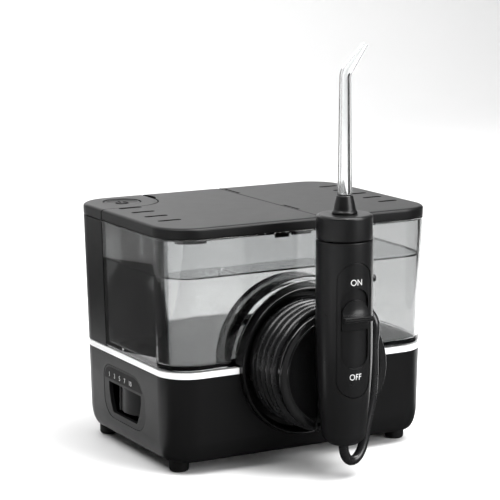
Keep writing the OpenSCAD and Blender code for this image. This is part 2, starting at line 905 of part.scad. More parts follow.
module lid_left() {
  edge = hinge_x - hinge_r - gap;
  notch_r = 12.3;
  notch_in = 3.4;
  notch_deep = 1.3;
  color(black) at_body() difference() {
    union() {
      difference() {
        lid_slab();
        translate([edge, -far / 2, 0]) cube([far, far, far]);
      }
      translate([edge - 1.8, -49.5, lid_z]) cube([1.8, 100, top_z - lid_z - 1]);
      for (lug = [front_lug, rear_lug]) {
        hinge_rod(lug[0], lug[1], hinge_r);
        translate([edge - 1, lug[0], hinge_z - hinge_r]) cube([hinge_x - edge + 1, lug[1] - lug[0], 2 * hinge_r]);
      }
    }
    hinge_rod(-60, 60, hinge_pin_r);
    intersection() {
      translate([tower_x + notch_in - notch_r, 45.5, top_z - notch_deep]) cylinder(h = 10, r = notch_r);
      translate([tower_x, 30, top_z - notch_deep]) cube([10, 30, 10]);
    }
  }
}

module hinge_pins() {
  color(steel) at_body() for (lug = [front_lug, rear_lug])
    hinge_rod(lug[0] - 5, min(lug[1] + 5, 51), hinge_pin_r);
}

module lid_flap() {
  root = hinge_x + hinge_r + gap;
  color(black) at_body() difference() {
    union() {
      difference() {
        lid_slab();
        translate([hinge_x - far, -far / 2, 0]) cube([far, far, far]);
        translate([0, -far / 2, 0]) cube([root, far, hinge_z - hinge_r]);
      }
      translate([root, -49.5, lid_z]) cube([1.6, 100, top_z - lid_z - 1]);
      hinge_rod(-51, 51, hinge_r);
      translate([hinge_x, -51, hinge_z - hinge_r]) cube([3, 102, hinge_r]);
    }
    for (lug = [front_lug, rear_lug])
      translate([hinge_x - 3, lug[0] - gap, lid_z - 5])
        cube([root - hinge_x + 3, lug[1] - lug[0] + 2 * gap, 20]);
    hinge_rod(-60, 60, hinge_pin_r + 0.06);
  }
}

// ---- Handset ----

// Radius of the grip at a height: straight, then a soft taper, then a round end.
function grip_at(z) =
  z >= taper_z ? grip_r :
  z >= round_z ? grip_r - (grip_r - grip_low_r) * pow((taper_z - z) / (taper_z - round_z), 1.5) :
  grip_low_r * pow(1 - pow((round_z - z) / (round_z - grip_bottom), 2.4), 1 / 2.4);

// The grip's profile between two heights, inset from its surface.
function grip_side(inset, low, high) = let (steps = 16, bend = min(high, taper_z)) concat(
  [for (i = [0:steps]) let (z = low + (bend - low) * i / steps) [grip_at(z) - inset, z]],
  high > taper_z ? [[grip_r - inset, high]] : []
);

// The profile of the grip's round lower end.
function grip_end() = let (steps = 9, depth = round_z - grip_bottom) [
  for (i = [0:steps - 1]) let (z = round_z - depth * cos(90 * i / steps)) [grip_at(z), z]
];

module grip_solid(inset, low, high) {
  on_handset() rotate_extrude($fn = 72)
    polygon(concat([[0, low]], grip_side(inset, low, high), [[0, high]]));
}

// A standing slot with round ends, cut through the handset's front.
module front_slot(w, low, high, depth) {
  on_handset() translate([0, -depth, 0]) rotate([90, 0, 0]) linear_extrude(far) {
    translate([0, low + w / 2]) circle(r = w / 2);
    translate([0, high - w / 2]) circle(r = w / 2);
    translate([-w / 2, low + w / 2]) square([w, high - low - w]);
  }
}

module on_eject() {
  on_handset() translate([0, 0, eject_z]) rotate([0, 90, 0]) children();
}

module handset_shell() {
  color(black) at_body() difference() {
    on_handset() rotate_extrude($fn = 72)
      polygon(concat(grip_end(), grip_side(0, round_z, grip_top), [[0, grip_top]]));
    grip_solid(grip_wall, round_z - 1, 106);
    on_handset() translate([0, 0, 105]) cylinder(h = 20, r = spigot_r + 0.08);
    on_handset() cylinder(h = 30, r = hose_d / 2 + 0.25);
    front_slot(track_w + 0.4, track_low - 0.2, track_high + 0.2, 4);
    on_eject() cylinder(h = 30, r = eject_r + 0.15);
  }
}

// Panel with a pocket that the slider runs in.
module switch_track() {
  inner = 2.9;
  color(dark) at_body() difference() {
    intersection() {
      difference() {
        grip_solid(0.35, track_low - 2, track_high + 2);
        grip_solid(inner, track_low - 3, track_high + 3);
      }
      front_slot(track_w, track_low, track_high, 4);
    }
    difference() {
      front_slot(recess_w, recess_low, recess_high, 4);
      grip_solid(recess_inset, track_low, track_high);
    }
    on_handset() translate([-2, -20, guide_z]) cube([4, 20, 12.3]);
  }
}

module switch_slider() {
  proud = 0.3;
  fin_t = 2.2;
  nub_w = 3.2;
  color(black) at_body() {
    difference() {
      intersection() {
        front_slot(slider_w, slider_low - slider_w, slider_high, 4);
        on_handset() translate([0, 0, slider_low])
          cylinder(h = slider_high - slider_low, r = grip_r + proud, $fn = 72);
      }
      on_handset() cylinder(h = far, r = grip_r - recess_inset + 0.3, $fn = 72);
    }
    on_handset() difference() {
      translate([-fin_w / 2, -grip_r - fin_h, fin_z - fin_t / 2]) cube([fin_w, fin_h + 5, fin_t]);
      cylinder(h = far, r = grip_r, $fn = 72);
    }
    on_handset() translate([-nub_w / 2, -grip_r + 0.4, guide_z + 8.4]) cube([nub_w, 4, 3.5]);
  }
}

module handset_tube() {
  low = round_z + 0.1;
  color(clear) at_body() on_handset() difference() {
    translate([0, 0, low]) cylinder(h = spigot_z - low - 0.2, r = 2);
    translate([0, 0, low - 1]) cylinder(h = 120, r = 1.1);
  }
}

module steel_keeper() {
  color(steel) at_body() on_handset() translate([-5, 7.6, 46]) cube([10, 1.2, 16]);
}

module hose_gland() {
  color(rubber) at_body() on_handset() difference() {
    union() {
      translate([0, 0, 18.9]) cylinder(h = 4.1, r = hose_d / 2 + 0.2);
      translate([0, 0, round_z - 1]) cylinder(h = 1, r = 6);
    }
    translate([0, 0, 18]) cylinder(h = 10, r = 1.1);
  }
}

module eject_button() {
  color(dark) at_body() on_eject() {
    translate([0, 0, 9.7]) cylinder(h = 1, r = eject_r + 0.8);
    translate([0, 0, 10.6]) cylinder(h = 4.9, r = eject_r);
    translate([0, 0, 15.4]) cylinder(h = 0.5, r1 = eject_r, r2 = eject_r - 0.5);
  }
}

module eject_spring() {
  color(steel) at_body() on_eject() translate([0, 0, 3]) coil_spring(1.8, 0.3, 6.65, 4);
}

module tip_collar() {
  color(black) at_body() on_handset() difference() {
    rotate_extrude($fn = 72) polygon([
      [0, spigot_z], [spigot_r, spigot_z], [spigot_r, 110], [7.9, 110], [7.9, 111], [spigot_r, 111],
      [spigot_r, collar_z], [collar_r, collar_z], [collar_r, collar_top - 1.4], [collar_r - 0.4, collar_top - 0.5],
      [collar_r - 1.3, collar_top], [0, collar_top]
    ]);
    translate([0, 0, 112]) cylinder(h = 30, r = socket_r);
    translate([0, 0, 100]) cylinder(h = 30, r = 1.2);
  }
}

module collar_oring() {
  color(rubber) at_body() on_handset() translate([0, 0, 110.5]) rotate_extrude() translate([8.33, 0])
    circle(r = 0.4, $fn = 24);
}

module tip_base() {
  flare_z = collar_top + 0.1;
  color(black) at_body() on_handset() difference() {
    rotate_extrude($fn = 72) polygon([
      [0, 112.5], [3.5, 112.5], [3.5, flare_z], [5.95, flare_z], [5.95, flare_z + 0.9], [5.3, flare_z + 1.6],
      [4.9, flare_z + 4], [3.9, cone_top], [0, cone_top]
    ]);
    translate([0, 0, 130]) cylinder(h = 30, r = 3.1);
    translate([0, 0, 100]) cylinder(h = 50, r = 0.9);
  }
}

// Clear tube with a bent, tapering end.
module tip_nozzle() {
  base_r = 3.4;
  neck_r = 2.7;
  end_r = 1.3;
  steps = 6;
  bend = [
    for (i = [0:steps]) let (a = tip_bend * i / steps)
      [bend_r * (1 - cos(a)), 0, bend_z + bend_r * sin(a)]
  ];
  mouth = bend[steps] + tip_end * [sin(tip_bend), 0, cos(tip_bend)];
  path = concat([[0, 0, cone_top + 0.1]], bend, [mouth]);
  radii = concat([base_r], [for (p = bend) neck_r], [end_r]);
  color(clear, 0.5) at_body() on_handset() rotate([0, 0, tip_azimuth]) difference() {
    union() {
      translate([0, 0, 130.1]) cylinder(h = cone_top - 129, r = 3);
      swept_tube(path, radii, 24);
    }
    translate([0, 0, 120]) cylinder(h = bend_z - 121, r = 0.7);
  }
}

lower_housing();
bottom_cover();
rubber_feet();
cover_screws();
trim_band();
top_deck();
tower_shell();
tower_cap();
power_button();
button_spring();
button_board();
reel_drum();
reel_flange();
reel_core();
dock_plate();
dock_magnet();
hose_coil();
dial_bezel();
pressure_dial();
dial_post();
pressure_valve();
pump_motor();
motor_shaft();
motor_pinion();
motor_bracket();
gear_axle();
crank_gear();
piston_rod();
piston_seal();
pump_cylinder();
pump_head();
check_valves();
inlet_seal();
outlet_tube();
battery_cells();
battery_cradle();
control_board();
charge_socket();
water_tank();
valve_plunger();
valve_spring();
lid_left();
hinge_pins();
lid_flap();
handset_shell();
switch_track();
switch_slider();
handset_tube();
steel_keeper();
hose_gland();
hose_lead();
eject_button();
eject_spring();
tip_collar();
collar_oring();
tip_base();
tip_nozzle();
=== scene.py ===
"""Looks of a countertop water flosser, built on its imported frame.

Lengths below are in millimetres, with y counted from the middle of the body. place() turns them into
metres in the shared frame.
"""
import math
import bmesh
import bpy
from mathutils import Matrix, Vector


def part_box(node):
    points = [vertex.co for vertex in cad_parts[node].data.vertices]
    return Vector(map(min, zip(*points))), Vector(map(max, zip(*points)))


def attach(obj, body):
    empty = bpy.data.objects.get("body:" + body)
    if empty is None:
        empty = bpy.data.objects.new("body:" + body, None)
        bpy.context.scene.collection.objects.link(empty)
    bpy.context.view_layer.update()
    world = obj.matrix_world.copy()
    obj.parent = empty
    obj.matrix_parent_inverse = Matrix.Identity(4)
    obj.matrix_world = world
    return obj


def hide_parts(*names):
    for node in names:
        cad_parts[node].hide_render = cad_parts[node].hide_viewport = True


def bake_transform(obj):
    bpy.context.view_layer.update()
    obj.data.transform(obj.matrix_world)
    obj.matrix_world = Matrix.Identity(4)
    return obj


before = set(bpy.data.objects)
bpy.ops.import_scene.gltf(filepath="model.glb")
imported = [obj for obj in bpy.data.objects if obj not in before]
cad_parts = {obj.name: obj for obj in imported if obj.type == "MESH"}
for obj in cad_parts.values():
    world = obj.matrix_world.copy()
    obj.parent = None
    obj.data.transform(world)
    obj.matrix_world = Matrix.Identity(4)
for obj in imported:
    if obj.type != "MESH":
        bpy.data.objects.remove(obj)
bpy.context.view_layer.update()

MM = 0.001
BODY_Y = (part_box("lid_left")[0].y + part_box("lid_flap")[1].y) / 2

# ---- Sizes of the object, in millimetres ----
BODY_W, BODY_D, CORNER_R, TOP_Z, DRAFT, WALL = 148, 109, 18, 119.5, 0.025, 2.2
FOOT_H, FOOT_R = 6, 4.7
FEET = [(x, y) for x in (-61, 61) for y in (-37, 42)]
HOUSING_TOP, BAND_TOP = 47.6, 50.6
TANK_Z, TANK_TOP, LID_Z = 50.9, 114, 114.4
SPOUT_X, SPOUT_Y = 15.3, 40
TOWER_X, TOWER_Y, TOWER_R, TOWER_GAP = -36, 19.5, 18.5, 0.6
BUTTON_X, BUTTON_Y, BUTTON_R = -54, 37.5, 9.2
REEL_Z, DRUM_R, CORE_R, DOCK_R = 50.4, 36.3, 25.9, 29.3
DRUM_BACK, DRUM_FRONT, FLANGE_FRONT, BEZEL_FRONT = 36.7, 47.7, 50.1, 56.2
DOCK_BACK, DOCK_FRONT = 76.5, 79.5
RECESS_R, RECESS_H = 38, 36.3
HOSE_D, TURN_R, ROWS = 4.7, 28.45, 5
HANDSET_Y, HANDSET_TURN = -87.7, -5.5
GRIP_R, GRIP_LOW_R, GRIP_TOP, GRIP_BOTTOM, TAPER_Z, ROUND_Z = 13.3, 10.5, 114.6, 16.7, 62, 24
WATER_Z = 95.5
SEAM_LEFT, HINGE_X, HINGE_Z, HINGE_R = 8.1, 9.6, TOP_Z - 1.2, 1.2
RIM_BACK, RIM_FRONT = 50.5, -49.5
LUGS = ((-28, -13), (33, 49))  # low and high y of the hinge's arms on the left lid
LIP_TABS = ((-66, -53, 111.8), (-16, -9, 111.2), (-7, 3, 111.8))  # low x, high x and lower edge
VENT_PITCH = 14.4
MARKS = (("1", 17), ("3", 11.2), ("5", 5.4), ("7", -0.4), ("10", -6.9))  # the dial's scale, each with its y
MARK_Z, MARK_H = 37.3, 2.4

collection = bpy.context.scene.collection


def place(p):
    """A point in millimetres about the body's middle, as metres in the shared frame."""
    return Vector((p[0] * MM, p[1] * MM + BODY_Y, p[2] * MM))


# ---- Camera; the cords' points were measured against its view ----
CAMERA_AT = (-478.42, -868.345, 274.158)
CAMERA_AIM = (0.47377, 0.86266, -0.17708)
CAMERA_YAW, CAMERA_ROLL = 28.776, 0.214
LENS, SENSOR = 145.09, 36


def make_camera():
    data = bpy.data.cameras.new("camera")
    data.sensor_width = SENSOR
    data.lens = LENS
    data.clip_start = 0.05
    camera = bpy.data.objects.new("camera", data)
    collection.objects.link(camera)
    forward = Vector(CAMERA_AIM).normalized()
    yaw, roll = math.radians(CAMERA_YAW), math.radians(CAMERA_ROLL)
    level = Vector((math.cos(yaw), -math.sin(yaw), 0))
    down = forward.cross(level)
    right = level * math.cos(roll) + down * math.sin(roll)
    down = down * math.cos(roll) - level * math.sin(roll)
    turn = Matrix((right, -down, -forward)).transposed()
    camera.matrix_world = Matrix.Translation(place(CAMERA_AT)) @ turn.to_4x4()
    bpy.context.scene.camera = camera


make_camera()


# ---- Mesh tools ----
def new_object(name, vertices, faces, smooth=True):
    mesh = bpy.data.meshes.new(name)
    mesh.from_pydata([place(v) for v in vertices], [], faces)
    mesh.validate()
    bm = bmesh.new()
    bm.from_mesh(mesh)
    bmesh.ops.recalc_face_normals(bm, faces=bm.faces)
    bm.to_mesh(mesh)
    bm.free()
    for p in mesh.polygons:
        p.use_smooth = smooth
    obj = bpy.data.objects.new(name, mesh)
    collection.objects.link(obj)
    return obj


def bake_modifiers(obj):
    graph = bpy.context.evaluated_depsgraph_get()
    mesh = bpy.data.meshes.new_from_object(obj.evaluated_get(graph))
    obj.modifiers.clear()
    obj.data = mesh


def combine(obj, other, operation="DIFFERENCE"):
    m = obj.modifiers.new("join", "BOOLEAN")
    m.operation = operation
    m.solver = "EXACT"
    m.object = other
    bake_modifiers(obj)
    bpy.data.objects.remove(other)
    return obj


def cut(obj, *cutters):
    for c in cutters:
        combine(obj, c)
    return obj


def finish_edges(obj, width=0.25, segments=2, angle=32):
    """Small rounded edges, and normals that keep the flat faces flat."""
    if width:
        m = obj.modifiers.new("round", "BEVEL")
        m.width = width * MM
        m.segments = segments
        m.limit_method = "ANGLE"
        m.angle_limit = math.radians(angle)
        m.use_clamp_overlap = True
        m.harden_normals = False
        m.miter_outer = "MITER_ARC"
        bake_modifiers(obj)
    for p in obj.data.polygons:
        p.use_smooth = True
    obj.data.set_sharp_from_angle(angle=math.radians(45))
    m = obj.modifiers.new("even", "WEIGHTED_NORMAL")
    m.keep_sharp = True
    m.weight = 60
    bake_modifiers(obj)
    return obj


def stitch(rings, closed_ends=True):
    """Faces between rings of equal length, each a closed loop."""
    n = len(rings[0])
    vertices = [p for ring in rings for p in ring]
    faces = []
    for i in range(len(rings) - 1):
        for j in range(n):
            k = (j + 1) % n
            faces.append((i * n + j, i * n + k, (i + 1) * n + k, (i + 1) * n + j))
    if closed_ends:
        last = (len(rings) - 1) * n
        faces.append(tuple(range(n - 1, -1, -1)))
        faces.append(tuple(last + j for j in range(n)))
    return vertices, faces


def stitch_round(rings):
    """Faces between rings where the last ring meets the first again."""
    vertices, faces = stitch(rings + [rings[0]], closed_ends=False)
    n = len(rings) * len(rings[0])
    return vertices[:n], [tuple(v % n for v in f) for f in faces]


def arc(cx, cy, r, start, end, steps):
    return [(cx + r * math.cos(math.radians(start + (end - start) * i / steps)),
             cy + r * math.sin(math.radians(start + (end - start) * i / steps))) for i in range(steps + 1)]


def outline(z, inset, steps=14):
    """The body's outline at a height, inset from its drafted wall."""
    s = DRAFT * (TOP_Z - z) + inset
    cx, cy, r = BODY_W / 2 - CORNER_R, BODY_D / 2 - CORNER_R, CORNER_R - s
    points = []
    for i, (sx, sy) in enumerate(((1, 1), (-1, 1), (-1, -1), (1, -1))):
        points += arc(sx * cx, sy * cy, r, 90 * i, 90 * i + 90, steps)
    return [(x, y, z) for x, y in points]


def loft(name, levels, steps=14):
    return new_object(name, *stitch([outline(z, inset, steps) for z, inset in levels]))


def lathe(name, profile, origin, axis="z", steps=96, closed=False):
    """Turns (radius, height) points about an axis: z up, or y towards the front.

    A closed profile makes a ring with no middle."""
    rings = []
    if axis == "y":
        profile = profile[::-1]
    for r, h in profile:
        ring = []
        for j in range(steps):
            a = 2 * math.pi * j / steps
            if axis == "z":
                ring.append((origin[0] + r * math.cos(a), origin[1] + r * math.sin(a), origin[2] + h))
            else:
                ring.append((origin[0] + r * math.cos(a), -h, origin[2] + r * math.sin(a)))
        rings.append(ring)
    return new_object(name, *(stitch_round(rings) if closed else stitch(rings)))


def prism(name, points, to_3d, low, high):
    """A flat outline swept between two depths; to_3d(u, v, depth) places its points."""
    rings = [[to_3d(u, v, d) for u, v in points] for d in (low, high)]
    return new_object(name, *stitch(rings), smooth=False)


def upright(x, y, z):
    """Places a plan outline as it is, for a prism that stands along z."""
    return (x, y, z)


def box(name, low, high):
    x0, y0, z0 = low
    x1, y1, z1 = high
    return prism(name, [(x0, y0), (x1, y0), (x1, y1), (x0, y1)], upright, z0, z1)


def rod(name, centre, r, low, high, axis="y", steps=64):
    """A plain cutter along an axis: y runs from -low to -high, towards the front."""
    if axis == "y":
        return lathe(name, [(r, low), (r, high)], (centre[0], 0, centre[1]), "y", steps)
    return lathe(name, [(r, low), (r, high)], (centre[0], centre[1], 0), "z", steps)


def tower_plan(grow):
    """Plan of the tower's corner block, reaching far past the body's rear left corner."""
    cx, cy, r, far = TOWER_X - TOWER_R, TOWER_Y + TOWER_R, TOWER_R + grow, 100
    return [(-far, cy - r)] + arc(cx, cy, r, -90, 0, 24) + [(cx + r, far), (-far, far)]


def tower_block(grow, low, high):
    return prism("block", tower_plan(grow), upright, low, high)


def stadium(width, low, high, steps=20):
    """A standing outline with round ends, about u = 0."""
    r = width / 2
    return arc(0, high - r, r, 0, 180, steps) + arc(0, low + r, r, 180, 360, steps)


def smooth_path(points, spacing):
    """Even points along a Catmull-Rom curve."""
    pts = [Vector(p) for p in points]
    pts = [pts[0] * 2 - pts[1]] + pts + [pts[-1] * 2 - pts[-2]]
    fine = []
    for a, b, c, d in zip(pts, pts[1:], pts[2:], pts[3:]):
        for i in range(24):
            t = i / 24
            fine.append(((b * 2) + (c - a) * t + (a * 2 - b * 5 + c * 4 - d) * t * t
                         + (b * 3 - a - c * 3 + d) * t ** 3) / 2)
    fine.append(pts[-2])
    total = sum((q - p).length for p, q in zip(fine, fine[1:]))
    n = max(2, round(total / spacing))
    out, run, k = [fine[0]], 0.0, 0
    for i in range(1, n):
        want = total * i / n
        while run + (fine[k + 1] - fine[k]).length < want:
            run += (fine[k + 1] - fine[k]).length
            k += 1
        out.append(fine[k].lerp(fine[k + 1], (want - run) / (fine[k + 1] - fine[k]).length))
    return out + [fine[-1]]


def sweep(name, points, radii, sides=24, bore=None):
    """A tube along points, with a radius for each point, and a bore if a second list gives its radii."""
    pts = [Vector(p) for p in points]
    tangents = [(pts[min(i + 1, len(pts) - 1)] - pts[max(i - 1, 0)]).normalized() for i in range(len(pts))]
    side = tangents[0].cross(Vector((0.3, 1, 0.2))).normalized()
    frames = []
    for t in tangents:
        side = (side - t * side.dot(t)).normalized()
        frames.append((side.copy(), t.cross(side)))

    def ring(i, r):
        s, u = frames[i]
        return [pts[i] + (s * math.cos(2 * math.pi * j / sides) + u * math.sin(2 * math.pi * j / sides)) * r
                for j in range(sides)]

    rings = [ring(i, radii[i]) for i in range(len(pts))]
    if bore is None:
        return new_object(name, *stitch(rings))
    rings += [ring(i, bore[i]) for i in range(len(pts) - 1, -1, -1)]
    return new_object(name, *stitch_round(rings))


# ---- Materials ----
def material(name, colour, roughness, grain=900.0, grain_depth=0.02, mottle=0.12, specular=0.5,
             rough_swing=0.06, metallic=0.0, transmission=0.0, ior=1.5):
    """A moulded or machined surface: fine grain in the bump, and slow drifts in tone and roughness."""
    mat = bpy.data.materials.new(name)
    mat.use_nodes = True
    nodes, links = mat.node_tree.nodes, mat.node_tree.links
    shader = nodes["Principled BSDF"]
    shader.inputs["Metallic"].default_value = metallic
    shader.inputs["IOR"].default_value = ior
    shader.inputs["Specular IOR Level"].default_value = specular
    shader.inputs["Transmission Weight"].default_value = transmission
    where = nodes.new("ShaderNodeTexCoord")
    slow = nodes.new("ShaderNodeTexNoise")
    slow.inputs["Scale"].default_value = 22.0
    slow.inputs["Detail"].default_value = 3.0
    links.new(where.outputs["Object"], slow.inputs["Vector"])
    tone = nodes.new("ShaderNodeValToRGB")
    tone.color_ramp.elements[0].position = 0.3
    tone.color_ramp.elements[1].position = 0.7
    tone.color_ramp.elements[0].color = [c * (1 - mottle) for c in colour] + [1]
    tone.color_ramp.elements[1].color = [min(1, c * (1 + mottle)) for c in colour] + [1]
    links.new(slow.outputs["Fac"], tone.inputs["Fac"])
    links.new(tone.outputs["Color"], shader.inputs["Base Color"])
    drift = nodes.new("ShaderNodeTexNoise")
    drift.inputs["Scale"].default_value = 140.0
    drift.inputs["Detail"].default_value = 4.0
    links.new(where.outputs["Object"], drift.inputs["Vector"])
    level = nodes.new("ShaderNodeMapRange")
    level.inputs["To Min"].default_value = max(0.0, roughness - rough_swing)
    level.inputs["To Max"].default_value = roughness + rough_swing
    links.new(drift.outputs["Fac"], level.inputs["Value"])
    links.new(level.outputs["Result"], shader.inputs["Roughness"])
    if grain_depth:
        fine = nodes.new("ShaderNodeTexNoise")
        fine.inputs["Scale"].default_value = grain
        fine.inputs["Detail"].default_value = 2.0
        links.new(where.outputs["Object"], fine.inputs["Vector"])
        bump = nodes.new("ShaderNodeBump")
        bump.inputs["Strength"].default_value = 0.35
        bump.inputs["Distance"].default_value = grain_depth * MM
        links.new(fine.outputs["Fac"], bump.inputs["Height"])
        links.new(bump.outputs["Normal"], shader.inputs["Normal"])
    return mat


BLACK = material("satin_black", (0.0055, 0.0055, 0.0057), 0.34, 1100, 0.03, specular=0.16)
BLACK_LID = material("lid_black", (0.005, 0.005, 0.0052), 0.34, 1100, 0.03, specular=0.23, rough_swing=0.015)
BLACK_GRIP = material("grip_black", (0.007, 0.007, 0.0073), 0.3, 1300, 0.02, specular=0.3)
BLACK_POLISH = material("dock_black", (0.004, 0.004, 0.0042), 0.14, 900, 0.005, specular=0.8,
                        rough_swing=0.02)
BLACK_GLOSS = material("reel_black", (0.004, 0.004, 0.0042), 0.18, 900, 0.01, specular=0.4)
DARK = material("dark_plastic", (0.008, 0.008, 0.0083), 0.4, 1000, 0.03, specular=0.14)
RUBBER = material("soft_black", (0.008, 0.008, 0.008), 0.55, 700, 0.05, specular=0.12)
HOSE = material("hose_black", (0.008, 0.008, 0.0085), 0.27, 600, 0.02, specular=0.6, rough_swing=0.02)
CARD_GREY = material("card_grey", (0.36, 0.36, 0.36), 0.7, specular=0.1)
CARD_DARK = material("card_dark", (0.09, 0.09, 0.09), 0.7, specular=0.1)
CARD_BLACK = material("card_black", (0.03, 0.03, 0.03), 0.7, specular=0.1)
WHITE = material("white_band", (0.86, 0.86, 0.86), 0.35, 900, 0.01, mottle=0.03)
CREAM = material("cream_plastic", (0.72, 0.7, 0.64), 0.42, 900, 0.02, mottle=0.05)
STEEL = material("steel", (0.58, 0.59, 0.6), 0.28, 500, 0.02, mottle=0.06, metallic=1.0)
BRASS = material("brass", (0.62, 0.44, 0.17), 0.3, 500, 0.02, mottle=0.08, metallic=1.0)
BOARD = material("board_green", (0.03, 0.16, 0.07), 0.45, 400, 0.05, mottle=0.2)
CELL = material("cell_wrap", (0.04, 0.13, 0.3), 0.3, 300, 0.02, mottle=0.1)
# near-black print colour, also used as painted shade inside the lids' vents, seams and notches
PRINT_AND_SHADE_BLACK = material("print_and_slot_shade_black", (0.002, 0.002, 0.002), 0.5, 900, 0.02, specular=0.1)
INK = material("print_grey", (0.55, 0.55, 0.55), 0.5, 900, 0.005, mottle=0.08)
CLEAR = material("clear_tank", (0.575, 0.58, 0.58), 0.015, 300, 0, mottle=0.01, rough_swing=0.012,
                 transmission=1, ior=1.49)
NOZZLE = material("clear_tip", (0.95, 0.96, 0.96), 0.05, 300, 0, mottle=0.02, rough_swing=0.03,
                  transmission=1, ior=1.5)
TUBE = material("clear_tube", (0.85, 0.88, 0.9), 0.12, 300, 0, mottle=0.04, rough_swing=0.05,
                transmission=1, ior=1.42)
WATER = material("water", (0.97, 0.985, 0.99), 0.004, 60, 0, mottle=0.004, rough_swing=0.003,
                 transmission=1, ior=1.33)


def piece(obj, mat, body, *nodes, slot="black_plastic"):
    """Gives a finished piece its material, its body and the CAD nodes that it stands for."""
    obj.data.materials.clear()
    obj.data.materials.append(mat)
    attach(obj, body)
    if nodes:
        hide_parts(*nodes)
    return obj


# ---- Hose: the wound turns, then the loose lead ----
def squeeze(angle):
    """How much the handset's back presses the turns together at the top and bottom of the reel."""
    off = min(abs((angle - 90 + 180) % 360 - 180), abs((angle - 270 + 180) % 360 - 180))
    t = min(1, max(0, (off - 22) / 28))
    return 1 - t * t * (3 - 2 * t)


def coil_points():
    """Turns side by side, each stepping forward behind the handset's lower right, ending at the top."""
    points = []
    for i in range((ROWS - 1) * 60 + 46):
        run = i * 6
        turn, into = divmod(run, 360)
        t = min(1, max(0, (into - 12) / 66))
        row = max(0, turn - 1 + t * t * (3 - 2 * t)) if turn else 0
        press = squeeze(-run)
        h = (52.75 + 5 * row) * (1 - press) + (52.6 + 4.75 * row) * press
        r = TURN_R
        if run < 42:
            r -= 3.4 * (1 - run / 42) ** 2
        a = math.radians(-run)
        points.append((r * math.cos(a), -h, REEL_Z + r * math.sin(a)))
    return points


# Over the reel's top, down the handset's right side, and round in a small loop to the gland under it.
LEAD_ROUTE = [
    (4.5, -71.7, 79.4), (8.5, -72.2, 80.3), (12.5, -74, 80.4), (15.6, -76.8, 79.2), (18.3, -80, 76.9),
    (19.9, -82.4, 72.6), (19.9, -82.9, 67), (19.2, -83, 61), (19.2, -83.2, 49), (18.4, -83.4, 38.3),
    (16.8, -83.8, 30.8), (14.2, -84.6, 22.3), (12.9, -85.1, 16.5), (10.6, -85.9, 11.6), (7.5, -86.7, 8.7),
    (4.3, -87.3, 8.2), (1.8, -87.6, 10), (0.4, -87.7, 13), (0, -87.7, 16), (0, -87.7, 18.8)]

coil_line = coil_points()
coil = piece(sweep("hose_winding", coil_line, [HOSE_D / 2] * len(coil_line), 20), HOSE, "base",
             "hose_coil", slot="hose_rubber")

lead_line = smooth_path([coil_line[-1]] + LEAD_ROUTE, 1.5)
lead = sweep("hose_loop", lead_line, [HOSE_D / 2] * len(lead_line), 20)
lead.data.materials.append(HOSE)
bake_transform(lead)
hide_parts("hose_lead")


# ---- Housing ----
def dial_outline(grow):
    """The dial's bezel on the left wall, in (y, z): wide corners, and a straight lower edge."""
    return (arc(13.5, 25.5, 10 + grow, -90, 0, 10) + arc(16.5, 35, 7 + grow, 0, 90, 10)
            + arc(-9.5, 29, 13 + grow, 90, 180, 14) + arc(-12.5, 25.5, 10 + grow, 180, 270, 10))


def round_outline(w, d, r, steps=8):
    x, y = w / 2 - r, d / 2 - r
    return (arc(x, y, r, 0, 90, steps) + arc(-x, y, r, 90, 180, steps)
            + arc(-x, -y, r, 180, 270, steps) + arc(x, -y, r, 270, 360, steps))


def side_prism(name, points, near, far):
    """An outline in (y, z) swept along X."""
    return prism(name, points, lambda u, v, d: (d, u, v), near, far)


def bottom_round():
    """The housing's rounded lower edge, as (height, inset) levels."""
    levels = []
    for i in range(9):
        u = (i / 8) ** 1.8
        levels.append((FOOT_H + 10 * u, 4.6 * (1 - math.sqrt(u)) ** 1.45))
    return levels


def reel_bore():
    return rod("bore", (0, REEL_Z), DRUM_R + 0.15, 30, 90, steps=128)


housing = loft("housing_skin", bottom_round() + [
    (HOUSING_TOP - 0.3, 0), (HOUSING_TOP - 0.08, 0.08), (HOUSING_TOP, 0.3)])
cut(housing,
    loft("hollow", [(8.6, WALL + 3.2), (12, WALL + 0.5), (16, WALL), (HOUSING_TOP + 1, WALL)]),
    prism("hatch", round_outline(108, 84, 6), upright, 3, 9),
    reel_bore(),
    side_prism("dial_hole", dial_outline(0.25), -90, -60),
    rod("socket_hole", (45, 20), 7.15, -70, -45))
for at in FEET:
    cut(housing, rod("foot_hole", at, FOOT_R + 0.1, 3, FOOT_H + 0.5, "z", 32))
piece(finish_edges(housing, 0.2), BLACK, "base", "lower_housing")

band = loft("band_skin", [
    (HOUSING_TOP + 0.1, 0.1), (HOUSING_TOP + 0.25, 0), (BAND_TOP - 0.15, 0), (BAND_TOP, 0.1)])
cut(band, loft("hollow", [(HOUSING_TOP - 1, WALL), (BAND_TOP + 1, WALL)]), reel_bore())
piece(finish_edges(band, 0), WHITE, "base", "trim_band", slot="white_plastic")

FOOT_PROFILE = [(0.01, 0), (FOOT_R - 1, 0), (FOOT_R - 0.5, 0.25), (FOOT_R - 0.1, 0.9), (FOOT_R, 1.6),
                (FOOT_R, FOOT_H + 0.4), (0.01, FOOT_H + 0.4)]
feet = None
for x, y in FEET:
    foot = lathe("feet_skin", FOOT_PROFILE, (x, y, 0), steps=48)
    feet = foot if feet is None else combine(feet, foot, "UNION")
piece(finish_edges(feet, 0), RUBBER, "base", "rubber_feet", slot="seal_rubber")

# ---- Tower, cap and power button ----
tower = loft("tower_skin", [(TANK_Z, 0.15), (TANK_Z + 0.2, 0), (TANK_TOP - 0.2, 0), (TANK_TOP, 0.15)])
combine(tower, tower_block(0, 40, 120), "INTERSECT")
hollow = loft("hollow", [(TANK_Z - 1, WALL), (TANK_TOP + 1, WALL)])
cut(tower, combine(hollow, tower_block(-WALL, 40, 120), "INTERSECT"))
piece(finish_edges(tower, 0.3), BLACK, "base", "tower_shell")

